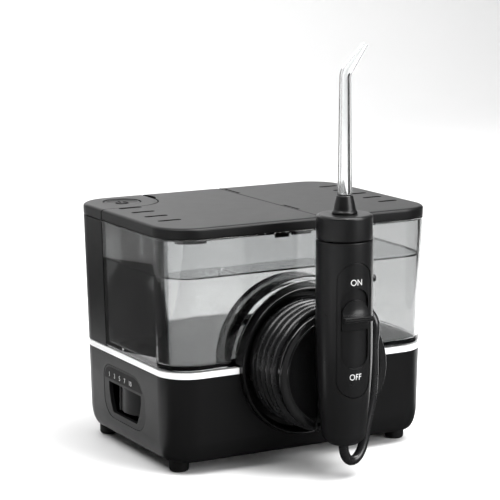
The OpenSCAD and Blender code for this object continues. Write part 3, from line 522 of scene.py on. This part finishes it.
TOP_ROUND = [(LID_Z, 0.35), (LID_Z + 0.25, 0.15), (118.1, 0.15), (118.55, 0.28), (118.9, 0.52),
             (119.15, 0.85), (119.33, 1.25), (119.45, 1.75), (TOP_Z, 2.4)]


def top_slab(name, inset):
    return loft(name, [(z, i + inset) for z, i in TOP_ROUND])


cap = top_slab("cap_skin", -0.15)
combine(cap, tower_block(0, 110, 125), "INTERSECT")
hollow = loft("hollow", [(LID_Z - 1, WALL), (TOP_Z - 2, WALL)])
cut(cap, combine(hollow, tower_block(-WALL, 100, 125), "INTERSECT"),
    rod("button_hole", (BUTTON_X, BUTTON_Y), BUTTON_R + 0.5, 110, 125, "z", 96))
piece(finish_edges(cap, 0.35, 3), BLACK_LID, "base", "tower_cap")

DISC_LOW, DISC_TOP = TOP_Z - 2.6, TOP_Z - 0.2
disc = lathe("button_skin", [
    (0.01, DISC_LOW), (BUTTON_R, DISC_LOW), (BUTTON_R, DISC_TOP - 0.35), (BUTTON_R - 0.1, DISC_TOP - 0.1),
    (BUTTON_R - 0.35, DISC_TOP), (BUTTON_R - 1.1, DISC_TOP), (BUTTON_R - 1.5, DISC_TOP - 0.3),
    (4, DISC_TOP - 0.55), (0.01, DISC_TOP - 0.6)], (BUTTON_X, BUTTON_Y, 0), steps=96)
cut(disc, rod("relief", (BUTTON_X, BUTTON_Y), 0.5, TOP_Z - 2.7, TOP_Z - 2.5, "z", 16))
piece(finish_edges(disc, 0), BLACK_LID, "power_button", "power_button")

ICON_Z = DISC_TOP - 0.42


def icon_part(name, points):
    return prism(name, points, lambda u, v, d: (BUTTON_X + u, BUTTON_Y + v, d), ICON_Z - 0.1, ICON_Z + 0.12)


open_ring = arc(0, 0, 3.3, 125, 415, 40) + arc(0, 0, 2.6, 415, 125, 40)
stroke = [(-0.35, 1.6), (0.35, 1.6), (0.35, 4.4), (-0.35, 4.4)]
icon = combine(icon_part("icon_skin", open_ring), icon_part("bar", stroke), "UNION")
piece(icon, PRINT_AND_SHADE_BLACK, "power_button")


# ---- Lids ----
def vent(x0, x1, y, r=1.45):
    """Cutter for a slot with round ends."""
    pts = ([(x0 + 1 + u, y + v) for u, v in arc(0, 0, r, 90, 270, 8)]
           + [(x1 - 1 + u, y + v) for u, v in arc(0, 0, r, 270, 450, 8)])
    return prism("vent", pts, upright, LID_Z, 125)


def lid_slab(name):
    """Both lids as one slab, before the seam parts them."""
    lid = top_slab(name, 0)
    hollow = cut(loft("hollow", [(LID_Z - 1, WALL), (TOP_Z - 2, WALL)]), tower_block(2.4, 100, 125))
    cut(lid, hollow)
    lip = loft("lip", [(113, WALL + 0.3), (TOP_Z - 1.9, WALL + 0.3)])
    cut(lip, loft("hollow", [(112, WALL + 2.3), (TOP_Z, WALL + 2.3)]),
        tower_block(TOWER_GAP + WALL + 0.7, 100, 125))
    for x0, x1, low in LIP_TABS:
        tab = box("tab", (x0, -60, low), (x1, -20, 116))
        combine(tab, loft("shape", [(105, WALL + 0.7), (118, WALL + 0.7)]), "INTERSECT")
        cut(tab, loft("hollow", [(104, WALL + 2.3), (119, WALL + 2.3)]))
        combine(lip, tab, "UNION")
    combine(lid, lip, "UNION")
    cut(lid, tower_block(TOWER_GAP, 100, 125),
        box("seam", (TOWER_X - 1, TOWER_Y + TOWER_R, 110), (TOWER_X + 1.4, 60, 125)))
    return lid


def paint_slot_shade(obj):
    """Painted shade: the inside of vents, seams and notches takes a near-black print colour that stands in
    for the shade falling there.
    """
    obj.data.materials.append(PRINT_AND_SHADE_BLACK)
    for face in obj.data.polygons:
        at = obj.matrix_world @ face.center
        x, y, z = at.x / MM, (at.y - BODY_Y) / MM, at.z / MM
        past_x = max(0, abs(x) - BODY_W / 2 + CORNER_R)
        past_y = max(0, abs(y) - BODY_D / 2 + CORNER_R)
        inside = math.hypot(past_x, past_y) < CORNER_R - 2.8
        upright_face, below_top = abs(face.normal.z) < 0.6, z < TOP_Z - 1
        # painted shade: faces inside the lid's footprint that stand upright or lie below its top go
        # near-black
        if inside and z > LID_Z + 0.5 and (upright_face or below_top):
            face.material_index = 1


left_lid = lid_slab("lid_left_skin")
cut(left_lid, box("far", (SEAM_LEFT, -80, 100), (90, 80, 130)))
combine(left_lid, box("rim", (SEAM_LEFT - 1.8, RIM_FRONT, LID_Z), (SEAM_LEFT, RIM_BACK, TOP_Z - 1)), "UNION")
for low, high in LUGS:
    arm = box("arm", (SEAM_LEFT - 1, low, HINGE_Z - HINGE_R), (HINGE_X, high, HINGE_Z + HINGE_R - 0.35))
    combine(left_lid, arm, "UNION")
    combine(left_lid, rod("knuckle", (HINGE_X, HINGE_Z), HINGE_R, -high, -low, steps=32), "UNION")
NOTCH_R, NOTCH_IN, NOTCH_Y, NOTCH_DEEP = 12.3, 3.4, 45.5, 1.3
notch = rod("notch", (TOWER_X + NOTCH_IN - NOTCH_R, NOTCH_Y), NOTCH_R, TOP_Z - NOTCH_DEEP, 125, "z", 96)
cut(left_lid, combine(notch, box("side", (TOWER_X, 30, 110), (TOWER_X + 10, 60, 130)), "INTERSECT"))
for i in range(4):
    cut(left_lid, vent(-65, -53.5, 17 - VENT_PITCH * i))
piece(finish_edges(left_lid, 0.3, 3), BLACK_LID, "lid_left", "lid_left")
paint_slot_shade(left_lid)

flap = lid_slab("lid_flap_skin")
ROOT = HINGE_X + HINGE_R + 0.3
cut(flap, box("far", (-90, -80, 100), (HINGE_X, 80, 130)),
    box("under", (0, -80, 100), (ROOT, 80, HINGE_Z - HINGE_R)))
combine(flap, box("rim", (ROOT, RIM_FRONT, LID_Z), (ROOT + 1.6, RIM_BACK, TOP_Z - 1)), "UNION")
combine(flap, rod("knuckle", (HINGE_X, HINGE_Z), HINGE_R, -51, 51, steps=32), "UNION")
for low, high in LUGS:
    cut(flap, box("notch", (HINGE_X - 3, low - 0.3, 110), (ROOT, high + 0.3, 125)))
for i in range(5):
    cut(flap, vent(57, 67, 30.2 - VENT_PITCH * i))
piece(finish_edges(flap, 0.3, 3), BLACK_LID, "lid_flap", "lid_flap")
paint_slot_shade(flap)


# ---- Clear tank, and the water in it ----
def recess_profile(grow, flare):
    """Arch cutter about the reel: a bore that flares out where it meets the front wall."""
    r0 = RECESS_R + grow
    h0 = 53.9 - grow - flare
    pts = [(0.01, RECESS_H - grow), (r0 - 0.6, RECESS_H - grow), (r0, RECESS_H - grow + 0.6)]
    for a in range(0, 86, 9):
        pts.append((r0 + flare * (1 - math.cos(math.radians(a))), h0 + flare * math.sin(math.radians(a))))
    return pts + [(pts[-1][0] + 0.3, 60), (0.01, 60)]


def recess(grow, flare):
    return lathe("recess", recess_profile(grow, flare), (0, 0, REEL_Z), "y", 144)


def tank_cavity():
    floor = TANK_Z + WALL
    cavity = loft("cavity", [(floor, WALL + 1.5), (floor + 0.25, WALL + 0.75), (floor + 0.75, WALL + 0.25),
                             (floor + 1.5, WALL), (TANK_TOP + 2, WALL)], 20)
    return cut(cavity, tower_block(TOWER_GAP + WALL, 40, 130), recess(WALL, 1.6))


tank = loft("tank_skin", [(TANK_Z, 1.5), (TANK_Z + 0.15, 0.9), (TANK_Z + 0.5, 0.4), (TANK_Z + 1.2, 0.1),
                          (TANK_TOP - 0.25, 0.1), (TANK_TOP, 0.3)], 20)
cut(tank, tower_block(TOWER_GAP, 40, 130), recess(0, 2.4), tank_cavity())
spout = lathe("spout", [(0.01, 45.2), (4.3, 45.2), (4.6, 45.5), (4.6, TANK_Z + 0.5), (0.01, TANK_Z + 0.5)],
              (SPOUT_X, SPOUT_Y, 0))
combine(tank, spout, "UNION")
cut(tank, rod("drain", (SPOUT_X, SPOUT_Y), 3.4, 44, 60, "z", 48))
piece(finish_edges(tank, 0.25, 2, 50), CLEAR, "water_tank", "water_tank", slot="clear_plastic")

# The water is only its surface: a thin sheet that climbs a little at the walls.
WATER_IN = WALL + 0.06
water = loft("water_top", [(WATER_Z - 0.3, WATER_IN), (WATER_Z + 0.6, WATER_IN)], 20)
tower_side = tower_block(TOWER_GAP + WATER_IN, 40, 130)
dish = loft("dish", [(WATER_Z, WATER_IN + 1.8), (WATER_Z + 0.06, WATER_IN + 1.2),
                     (WATER_Z + 0.22, WATER_IN + 0.65), (WATER_Z + 0.7, WATER_IN + 0.15)], 20)
cut(water, tower_side, cut(dish, tower_block(TOWER_GAP + WATER_IN + 1, 40, 130)))
piece(finish_edges(water, 0), WATER, "water_tank", slot=None)

# ---- Reel ----
def reel_part(name, profile, closed=False):
    return lathe(name, profile, (0, 0, REEL_Z), "y", 144, closed)


drum = reel_part("drum_skin", [
    (0.01, DRUM_BACK), (DRUM_R - 0.5, DRUM_BACK), (DRUM_R, DRUM_BACK + 0.5), (DRUM_R, DRUM_FRONT - 0.2),
    (DRUM_R - 0.2, DRUM_FRONT), (33.8, DRUM_FRONT), (33.8, DRUM_BACK + 2.5), (0.01, DRUM_BACK + 2.5)])
piece(finish_edges(drum, 0), BLACK_GLOSS, "base", "reel_drum", slot="black_gloss")

flange = reel_part("flange_skin", [
    (20, 47.8), (DRUM_R - 0.25, 47.8), (DRUM_R, 48.05), (DRUM_R, 55.3), (DRUM_R - 0.15, 55.8),
    (DRUM_R - 0.5, 56.1), (DRUM_R - 1, BEZEL_FRONT), (DRUM_R - 1.5, 56.0), (DRUM_R - 1.8, 55.6),
    (DRUM_R - 2.4, 51.2), (DRUM_R - 2.8, 50.5), (DRUM_R - 3.6, FLANGE_FRONT), (20, FLANGE_FRONT)],
    closed=True)
piece(finish_edges(flange, 0), BLACK_GLOSS, "base", "reel_flange", slot="black_gloss")


def saddle():
    """Cutter that hollows the reel's front to the handset's back."""
    return lathe("saddle", [(GRIP_R + 0.3, 0), (GRIP_R + 0.3, 200)], (0, HANDSET_Y, 0), steps=128)


CORE_BORE, CORE_FRONT = 23.6, DOCK_BACK - 0.05
core = reel_part("core_skin", [(CORE_BORE, FLANGE_FRONT), (CORE_R, FLANGE_FRONT), (CORE_R, CORE_FRONT),
                               (CORE_BORE, CORE_FRONT)], closed=True)
cut(core, saddle())
piece(finish_edges(core, 0), BLACK_GLOSS, "base", "reel_core", slot="black_gloss")

dock = reel_part("dock_skin", [
    (0.01, 66), (23.3, 66), (23.3, DOCK_BACK), (DOCK_R - 0.4, DOCK_BACK), (DOCK_R, DOCK_BACK + 0.4),
    (DOCK_R, 78.3), (DOCK_R - 0.2, 78.9), (DOCK_R - 0.6, 79.3), (DOCK_R - 1.2, DOCK_FRONT),
    (25.9, DOCK_FRONT), (25.75, 79.75), (25.4, 79.95), (24.95, 79.95), (24.6, 79.75), (24.4, 79.3),
    (24.0, 78.2), (23.4, 77.8), (20, 77.4), (15, 77.05), (8, 76.9), (0.01, 76.85)])
cut(dock, saddle(), box("pocket", (-6.2, -72, REEL_Z - 6.7), (6.2, -60, REEL_Z + 6.7)))
piece(finish_edges(dock, 0.15), BLACK_POLISH, "base", "dock_plate", slot="black_gloss")

# ---- Pressure dial ----
bezel = loft("bezel_skin", [(FOOT_H + 4, 0.1), (HOUSING_TOP, 0.1)])
combine(bezel, side_prism("shape", dial_outline(0), -90, -60), "INTERSECT")
window = [(17.6, 33.6), (-18, 33.6), (-18.25, 33.3), (-18.2, 30), (-16.4, 24.5), (-13.8, 19.6),
          (-13.2, 18.8), (-12.5, 18.4), (13.2, 18.4), (14.2, 18.8), (14.9, 19.8), (16.8, 24), (17.8, 29),
          (17.9, 33.3)]
cut(bezel, loft("hollow", [(FOOT_H + 3, WALL), (HOUSING_TOP + 1, WALL)]),
    side_prism("window", window, -90, -60))
piece(finish_edges(bezel, 0.45, 3), DARK, "base", "dial_bezel", slot="dark_plastic")

scale = loft("print_scale", [(34.9, 0.06), (HOUSING_TOP, 0.06)])
combine(scale, side_prism("shape", dial_outline(-0.9), -90, -60), "INTERSECT")
cut(scale, loft("hollow", [(30, 1.2), (HOUSING_TOP + 1, 1.2)]))
piece(finish_edges(scale, 0), PRINT_AND_SHADE_BLACK, "base", slot="dark_plastic")

DIAL_X, DIAL_Y, DIAL_R, DIAL_LOW, DIAL_HIGH = -54, 2.5, 16.3, 20, 33.2
DIAL_FIN_R, DIAL_REST = 17.5, 31
dial = lathe("dial_skin", [
    (0.01, DIAL_LOW - 5), (2, DIAL_LOW - 5), (2, DIAL_LOW), (DIAL_R - 0.6, DIAL_LOW),
    (DIAL_R, DIAL_LOW + 0.6), (DIAL_R, DIAL_HIGH - 0.6), (DIAL_R - 0.6, DIAL_HIGH), (2.5, DIAL_HIGH),
    (2.5, DIAL_HIGH + 4.9), (0.01, DIAL_HIGH + 4.9)], (DIAL_X, DIAL_Y, 0), steps=128)


def dial_fin(u, v, d):
    a = math.radians(180 - DIAL_REST)
    return (DIAL_X + u * math.cos(a) - v * math.sin(a), DIAL_Y + u * math.sin(a) + v * math.cos(a), d)


fin = prism("fin", [(5, -1.3), (16.9, -1.3), (DIAL_FIN_R, -0.7), (DIAL_FIN_R, 0.7), (16.9, 1.3), (5, 1.3)],
            dial_fin, DIAL_LOW + 0.1, DIAL_HIGH - 0.1)
combine(dial, fin, "UNION")
piece(finish_edges(dial, 0.3), DARK, "pressure_dial", "pressure_dial", slot="black_plastic")


# ---- Handset ----
def on_handset(x, y, z):
    a = math.radians(HANDSET_TURN)
    return (x * math.cos(a) - y * math.sin(a), HANDSET_Y + x * math.sin(a) + y * math.cos(a), z)


def grip_at(z):
    """The grip's radius at a height: straight, then a taper, then a rounded end."""
    if z >= TAPER_Z:
        return GRIP_R
    if z >= ROUND_Z:
        return GRIP_R - (GRIP_R - GRIP_LOW_R) * ((TAPER_Z - z) / (TAPER_Z - ROUND_Z)) ** 1.5
    return GRIP_LOW_R * max(0, 1 - ((ROUND_Z - z) / (ROUND_Z - GRIP_BOTTOM)) ** 2.4) ** (1 / 2.4)


def grip_body(name, inset, low, high):
    heights = [low + (high - low) * i / 60 for i in range(61)]
    pts = [(0.01, low)] + [(grip_at(z) - inset, z) for z in heights] + [(0.01, high)]
    return handset_lathe(name, pts)


def front_prism(name, points):
    """An outline in (x, z) on the handset's front, swept out from near its middle."""
    return prism(name, points, lambda u, v, d: on_handset(u, -d, v), 4, 30)


def handset_lathe(name, profile):
    return lathe(name, profile, (0, HANDSET_Y, 0), steps=144)


TRACK_LOW, TRACK_HIGH, TRACK_W = 42, 105.4, 17
depth = ROUND_Z - GRIP_BOTTOM
heights = [ROUND_Z - depth * math.cos(math.radians(6 * i)) for i in range(1, 15)]
heights += [ROUND_Z + i for i in range(int(TAPER_Z - ROUND_Z) + 1)]
grip = handset_lathe("grip_skin", [(0.01, GRIP_BOTTOM)] + [(grip_at(z), z) for z in heights] + [
    (GRIP_R, GRIP_TOP - 0.45), (GRIP_R - 0.12, GRIP_TOP - 0.12), (GRIP_R - 0.45, GRIP_TOP), (0.01, GRIP_TOP)])
cut(grip, grip_body("hollow", 2, ROUND_Z - 1, 106), handset_lathe("bore", [(8.78, 105), (8.78, 120)]),
    handset_lathe("mouth", [(3.4, 10), (3.0, 17.2), (2.65, 18), (2.65, 30)]),
    front_prism("slot", stadium(TRACK_W + 0.5, TRACK_LOW - 0.25, TRACK_HIGH + 0.25)))
EJECT_Z, EJECT_R = 95.2, 1.8


def eject_lathe(name, profile, steps=48):
    """Turns (radius, height) points about the eject button's axis, which runs out of the handset's side."""
    turns = [2 * math.pi * j / steps for j in range(steps)]
    rings = [[on_handset(h, r * math.cos(a), EJECT_Z + r * math.sin(a)) for a in turns] for r, h in profile]
    return new_object(name, *stitch(rings))


cut(grip, eject_lathe("hole", [(EJECT_R + 0.15, 5), (EJECT_R + 0.15, 30)]))
piece(finish_edges(grip, 0.18), BLACK_GRIP, "handset", "handset_shell")

track = grip_body("track_skin", 0.35, TRACK_LOW - 2, TRACK_HIGH + 2)
cut(track, grip_body("hollow", 2.9, TRACK_LOW - 3, TRACK_HIGH + 3))
combine(track, front_prism("panel", stadium(TRACK_W, TRACK_LOW, TRACK_HIGH)), "INTERSECT")
RECESS_W, RECESS_LOW, RECESS_HIGH = 13.8, 55.7, 93.6
pocket = front_prism("pocket", stadium(RECESS_W, RECESS_LOW, RECESS_HIGH))
cut(pocket, grip_body("floor", 1.4, 50, 100))
cut(track, pocket, front_prism("guide", [(-2, 74.5), (2, 74.5), (2, 86.8), (-2, 86.8)]))
piece(finish_edges(track, 0.25), BLACK_GRIP, "handset", "switch_track", slot="dark_plastic")

SLIDER_TOP, SLIDER_R, SLIDER_IN = 88.2, 6.6, 12.2
slider = handset_lathe("slider_skin", [
    (SLIDER_IN, 74), (12.9, 74), (13.2, 74.3), (13.25, 75.6), (13.6, 76.6), (14.3, 77.6), (14.6, 78.2),
    (14.6, 81.1), (14.2, 81.6), (13.7, 82.6), (13.45, 84), (13.35, 86), (13.3, 88.4), (SLIDER_IN, 88.4)])
cut(slider, handset_lathe("inside", [(SLIDER_IN, 60), (SLIDER_IN, 100)]))
dome = arc(0, SLIDER_TOP - SLIDER_R, SLIDER_R, 0, 180, 28) + [(-SLIDER_R, 73), (SLIDER_R, 73)]
combine(slider, front_prism("plan", dome), "INTERSECT")
FIN_Z, FIN_OUT, FIN_W = 79.6, 16.6, 14.4
half_ridges = [(12.6, 1.1), (16.1, 1.1), (16.45, 0.95), (16.45, 0.7), (15.9, 0.55), (15.9, 0.4),
               (FIN_OUT, 0.22)]
ridges = [(u, FIN_Z - v) for u, v in half_ridges] + [(u, FIN_Z + v) for u, v in reversed(half_ridges)]
bar = prism("bar", ridges, lambda u, v, d: on_handset(d, -u, v), -FIN_W / 2, FIN_W / 2)
cut(bar, handset_lathe("inside", [(GRIP_R, 60), (GRIP_R, 100)]))
combine(slider, bar, "UNION")
piece(finish_edges(slider, 0.12), BLACK_GRIP, "switch", "switch_slider")

nub = eject_lathe("eject_skin", [
    (0.01, 9.7), (EJECT_R + 0.8, 9.7), (EJECT_R + 0.8, 10.7), (EJECT_R, 10.7), (EJECT_R, 15.4),
    (EJECT_R - 0.15, 15.7), (EJECT_R - 0.5, 15.9), (0.01, 15.9)])
piece(finish_edges(nub, 0), BLACK_GRIP, "eject", "eject_button", slot="dark_plastic")

SPIGOT_R, COLLAR_R, COLLAR_TOP = 8.7, 13.1, 126.5
collar = handset_lathe("collar_skin", [
    (0.01, 108), (8.5, 108), (SPIGOT_R, 108.2), (SPIGOT_R, 110), (7.9, 110), (7.9, 111), (SPIGOT_R, 111),
    (SPIGOT_R, 115.2), (12.7, 115.2), (13.0, 115.3), (COLLAR_R, 115.6), (COLLAR_R, 125.1), (12.95, 125.7),
    (12.6, 126.1), (12.0, 126.4), (11.2, COLLAR_TOP), (0.01, COLLAR_TOP)])
cut(collar, handset_lathe("socket", [(3.6, 112), (3.6, 140)]), handset_lathe("way", [(1.2, 100), (1.2, 130)]))
piece(finish_edges(collar, 0), BLACK_GRIP, "tip_collar", "tip_collar")

CONE_TOP = 135
cone = handset_lathe("cone_skin", [
    (0.01, 112.5), (3.5, 112.5), (3.5, 126.6), (5.8, 126.6), (5.95, 126.8), (5.95, 127.3), (5.85, 127.6),
    (5.6, 127.9), (5.3, 128.3), (5.1, 129.2), (4.9, 130.6), (4, CONE_TOP - 0.5), (3.9, CONE_TOP - 0.2),
    (3.7, CONE_TOP), (0.01, CONE_TOP)])
cut(cone, handset_lathe("seat", [(3.1, 130), (3.1, 150)]), handset_lathe("way", [(0.9, 100), (0.9, 150)]))
piece(finish_edges(cone, 0), BLACK_GRIP, "tip", "tip_base")

# The clear tip stands straight, then bends over in a plane of its own. Each part narrows from one radius to
# the next: at the foot, at the bend and at the end.
TIP_BEND, TIP_AZIMUTH, BEND_Z, BEND_R, TIP_END = 34.5, -28.8, 189, 7, 13.8
TIP_FOOT_Z = CONE_TOP + 0.1
TIP_RADII, TIP_BORES = (3.4, 2.7, 1.3), (1.9, 1.5, 0.6)


def tip_point(out, z):
    a = math.radians(TIP_AZIMUTH)
    return (out * math.cos(a), HANDSET_Y + out * math.sin(a), z)


def tip_radii(foot, bend, end):
    """A radius for each point of the tip's line."""
    return ([foot + (bend - foot) * i / 14 for i in range(15)] + [bend] * 12
            + [bend + (end - bend) * i / 12 for i in range(1, 13)])


line = [tip_point(0, TIP_FOOT_Z + (BEND_Z - TIP_FOOT_Z) * i / 14) for i in range(15)]
for i in range(1, 13):
    a = math.radians(TIP_BEND * i / 12)
    line.append(tip_point(BEND_R * (1 - math.cos(a)), BEND_Z + BEND_R * math.sin(a)))
a = math.radians(TIP_BEND)
end_out, end_z = BEND_R * (1 - math.cos(a)), BEND_Z + BEND_R * math.sin(a)
for i in range(1, 13):
    run = TIP_END * i / 12
    line.append(tip_point(end_out + run * math.sin(a), end_z + run * math.cos(a)))
nozzle = sweep("nozzle_skin", line, tip_radii(*TIP_RADII), 48, tip_radii(*TIP_BORES))
stem = [(0.8, 130.1), (2.95, 130.1), (2.95, CONE_TOP + 0.6), (0.8, CONE_TOP + 0.6)]
combine(nozzle, handset_lathe("stem", stem), "UNION")
piece(finish_edges(nozzle, 0), NOZZLE, "tip", "tip_nozzle", slot="clear_plastic")


# ---- Print ----
def flat_text(name, text, height):
    """Letters as a flat mesh in millimetres, centred, as (x, z) pairs with their faces."""
    data = bpy.data.curves.new(name, "FONT")
    data.body = text
    data.align_x = "CENTER"
    data.resolution_u = 4
    data.extrude = 0.02
    obj = bpy.data.objects.new(name, data)
    collection.objects.link(obj)
    graph = bpy.context.evaluated_depsgraph_get()
    mesh = bpy.data.meshes.new_from_object(obj.evaluated_get(graph))
    bpy.data.objects.remove(obj)
    ys = [v.co.y for v in mesh.vertices]
    xs = [v.co.x for v in mesh.vertices]
    scale = height / (max(ys) - min(ys))
    mid_x, mid_y = (max(xs) + min(xs)) / 2, (max(ys) + min(ys)) / 2
    points = [((v.co.x - mid_x) * scale, (v.co.y - mid_y) * scale, v.co.z) for v in mesh.vertices]
    return points, [tuple(p.vertices) for p in mesh.polygons]


def grip_print(name, text, z, height, wide):
    """Letters wrapped round the handset's front."""
    points, faces = flat_text(name, text, height)
    vertices = []
    for u, v, side in points:
        r = grip_at(z + v) - 0.35 + (0.03 if side > 0 else -0.05)
        angle = u * wide / GRIP_R
        vertices.append(on_handset(r * math.sin(angle), -r * math.cos(angle), z + v))
    return piece(new_object(name, vertices, faces), INK, "handset", slot="white_plastic")


grip_print("print_on", "ON", 96.4, 2.9, 0.95)
grip_print("print_off", "OFF", 52, 2.9, 0.9)


def wall_print(name, text, y, z, height):
    """Letters on the left wall, which leans with its draft."""
    points, faces = flat_text(name, text, height)
    vertices = []
    for u, v, side in points:
        x = -(BODY_W / 2 - DRAFT * (TOP_Z - z - v)) + 0.06 - (0.03 if side > 0 else -0.05)
        vertices.append((x, y - u, z + v))
    return piece(new_object(name, vertices, faces), INK, "base", slot="white_plastic")


for i, (mark, mark_y) in enumerate(MARKS):
    wall_print(f"print_mark_{i}", mark, mark_y, MARK_Z, MARK_H)


# ---- Springs ----
def spring(name, r, wire, height, turns, to_3d, node):
    """A wound spring between two bodies, on an axis that to_3d places."""
    n = turns * 24
    line = []
    for i in range(n + 1):
        a = math.pi * i / 12
        line.append(to_3d(r * math.cos(a), r * math.sin(a), wire + (height - 2 * wire) * i / n))
    obj = sweep(name, line, [wire] * len(line), 10)
    obj.data.materials.append(STEEL)
    low, high = place(to_3d(0, 0, 0)), place(to_3d(0, 0, height))
    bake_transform(obj)
    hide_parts(node)


BUTTON_SEAT, VALVE_SEAT, EJECT_SEAT = 107.6, 46.35, 3
spring("button_coil", 5, 0.4, DISC_LOW - BUTTON_SEAT, 5,
       lambda u, v, d: (BUTTON_X + u, BUTTON_Y + v, BUTTON_SEAT + d),
       "button_spring")
spring("valve_coil", 2.1, 0.3, 4.2, 3, lambda u, v, d: (SPOUT_X + u, SPOUT_Y + v, VALVE_SEAT + d),
       "valve_spring")
spring("eject_coil", 1.8, 0.3, 6.65, 4, lambda u, v, d: on_handset(EJECT_SEAT + d, u, EJECT_Z + v),
       "eject_spring")

# ---- CAD pieces that stay as they are ----
KEPT = {
    STEEL: ("cover_screws", "hinge_pins", "gear_axle", "motor_shaft", "steel_keeper", "dock_magnet",
            "pump_motor"),
    BRASS: ("motor_pinion",),
    CREAM: ("crank_gear", "piston_rod", "pressure_valve"),
    BOARD: ("button_board", "control_board"),
    CELL: ("battery_cells",),
    DARK: ("charge_socket", "motor_bracket", "pump_cylinder", "pump_head", "battery_cradle", "dial_post"),
    RUBBER: ("piston_seal", "check_valves", "inlet_seal", "valve_plunger", "hose_gland", "collar_oring"),
    TUBE: ("outlet_tube", "handset_tube"),
    BLACK: ("bottom_cover", "top_deck"),
}
for mat, names in KEPT.items():
    for n in names:
        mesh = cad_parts[n].data
        mesh.materials.clear()
        mesh.materials.append(mat)


# ---- Floor and lights ----
def make_stage():
    """A white sheet of paper: flat under the object, and curved up far behind it."""
    mat = bpy.data.materials.new("floor_paper")
    mat.use_nodes = True
    nodes, links = mat.node_tree.nodes, mat.node_tree.links
    shader = nodes["Principled BSDF"]
    shader.inputs["Roughness"].default_value = 0.7
    shader.inputs["Specular IOR Level"].default_value = 0.2
    noise = nodes.new("ShaderNodeTexNoise")
    noise.inputs["Scale"].default_value = 3.0
    ramp = nodes.new("ShaderNodeValToRGB")
    ramp.color_ramp.elements[0].color = (0.87, 0.87, 0.87, 1)
    ramp.color_ramp.elements[1].color = (0.89, 0.89, 0.89, 1)
    links.new(noise.outputs["Fac"], ramp.inputs["Fac"])
    links.new(ramp.outputs["Color"], shader.inputs["Base Color"])
    profile = [(-2500, 0), (1100, 0)] + arc(1100, 500, 500, -80, 0, 8) + [(1600, 2500)]
    vertices = [(x, y, z) for x in (-3000, 3000) for y, z in profile]
    n = len(profile)
    floor = new_object("floor", vertices, [(i, i + 1, n + i + 1, n + i) for i in range(n - 1)])
    floor.data.materials.append(mat)


def area_light(name, at, aim, size, energy):
    """A square light, placed and aimed in metres."""
    data = bpy.data.lights.new(name, "AREA")
    data.energy = energy
    data.shape = "RECTANGLE"
    data.size = data.size_y = size
    light = bpy.data.objects.new(name, data)
    collection.objects.link(light)
    light.location = at
    light.rotation_euler = (Vector(aim) - Vector(at)).to_track_quat("-Z", "Y").to_euler()


make_stage()
area_light("key", (-0.55, -0.1, 1.1), (0, 0.05, 0), 0.7, 9)
area_light("fill", (0.4, -0.4, 1.3), (0.1, -0.1, 0), 1.0, 34)
area_light("back", (0.1, 0.9, 1.4), (0.2, 1.5, 0.4), 1.6, 10)
area_light("front", (0.45, -0.85, 0.4), (0.05, -0.15, 0), 0.6, 8)


def card(name, corners, mat):
    """A card beside the view, seen only in reflections and through the clear parts, in metres."""
    mesh = bpy.data.meshes.new(name)
    mesh.from_pydata(corners, [], [(0, 1, 2, 3)])
    obj = bpy.data.objects.new(name, mesh)
    collection.objects.link(obj)
    mesh.materials.append(mat)
    obj.visible_camera = obj.visible_diffuse = obj.visible_shadow = False
    return obj


def standing(start, end, low, high):
    """Corners of an upright card between two points of its plan."""
    (x0, y0), (x1, y1) = start, end
    return [(x0, y0, low), (x1, y1, low), (x1, y1, high), (x0, y0, high)]


CARD_LEFT, CARD_SPLIT, CARD_H = ((-0.25, -0.05), (-0.03, 0.55)), 0.057, 0.4
card("card_left", standing(*CARD_LEFT, CARD_SPLIT, CARD_H), CARD_GREY)
card("card_left_low", standing(*CARD_LEFT, 0, CARD_SPLIT), CARD_DARK)
card("card_right", standing((0.24, -0.25), (0.8, 0.6), 0, CARD_H), CARD_BLACK)
front = card("card_front", [(-0.35, 0, 0.001), (1.2, 0, 0.001), (1.2, -2.4, 0.001), (-0.35, -2.4, 0.001)],
             CARD_BLACK)
front.visible_transmission = False


def make_sky():
    """A soft overhead dome that fades out towards the horizon."""
    world = bpy.data.worlds.new("studio")
    world.use_nodes = True
    nodes, links = world.node_tree.nodes, world.node_tree.links
    shade = nodes["Background"]
    where = nodes.new("ShaderNodeTexCoord")
    split = nodes.new("ShaderNodeSeparateXYZ")
    links.new(where.outputs["Generated"], split.inputs["Vector"])
    level = nodes.new("ShaderNodeMapRange")
    level.interpolation_type = "SMOOTHSTEP"
    for name, value in (("From Min", 0.3), ("From Max", 0.85), ("To Min", 0.03), ("To Max", 2.2)):
        level.inputs[name].default_value = value
    links.new(split.outputs["Z"], level.inputs["Value"])
    links.new(level.outputs["Result"], shade.inputs["Strength"])
    bpy.context.scene.world = world


make_sky()
bpy.context.scene.view_settings.view_transform = "Standard"
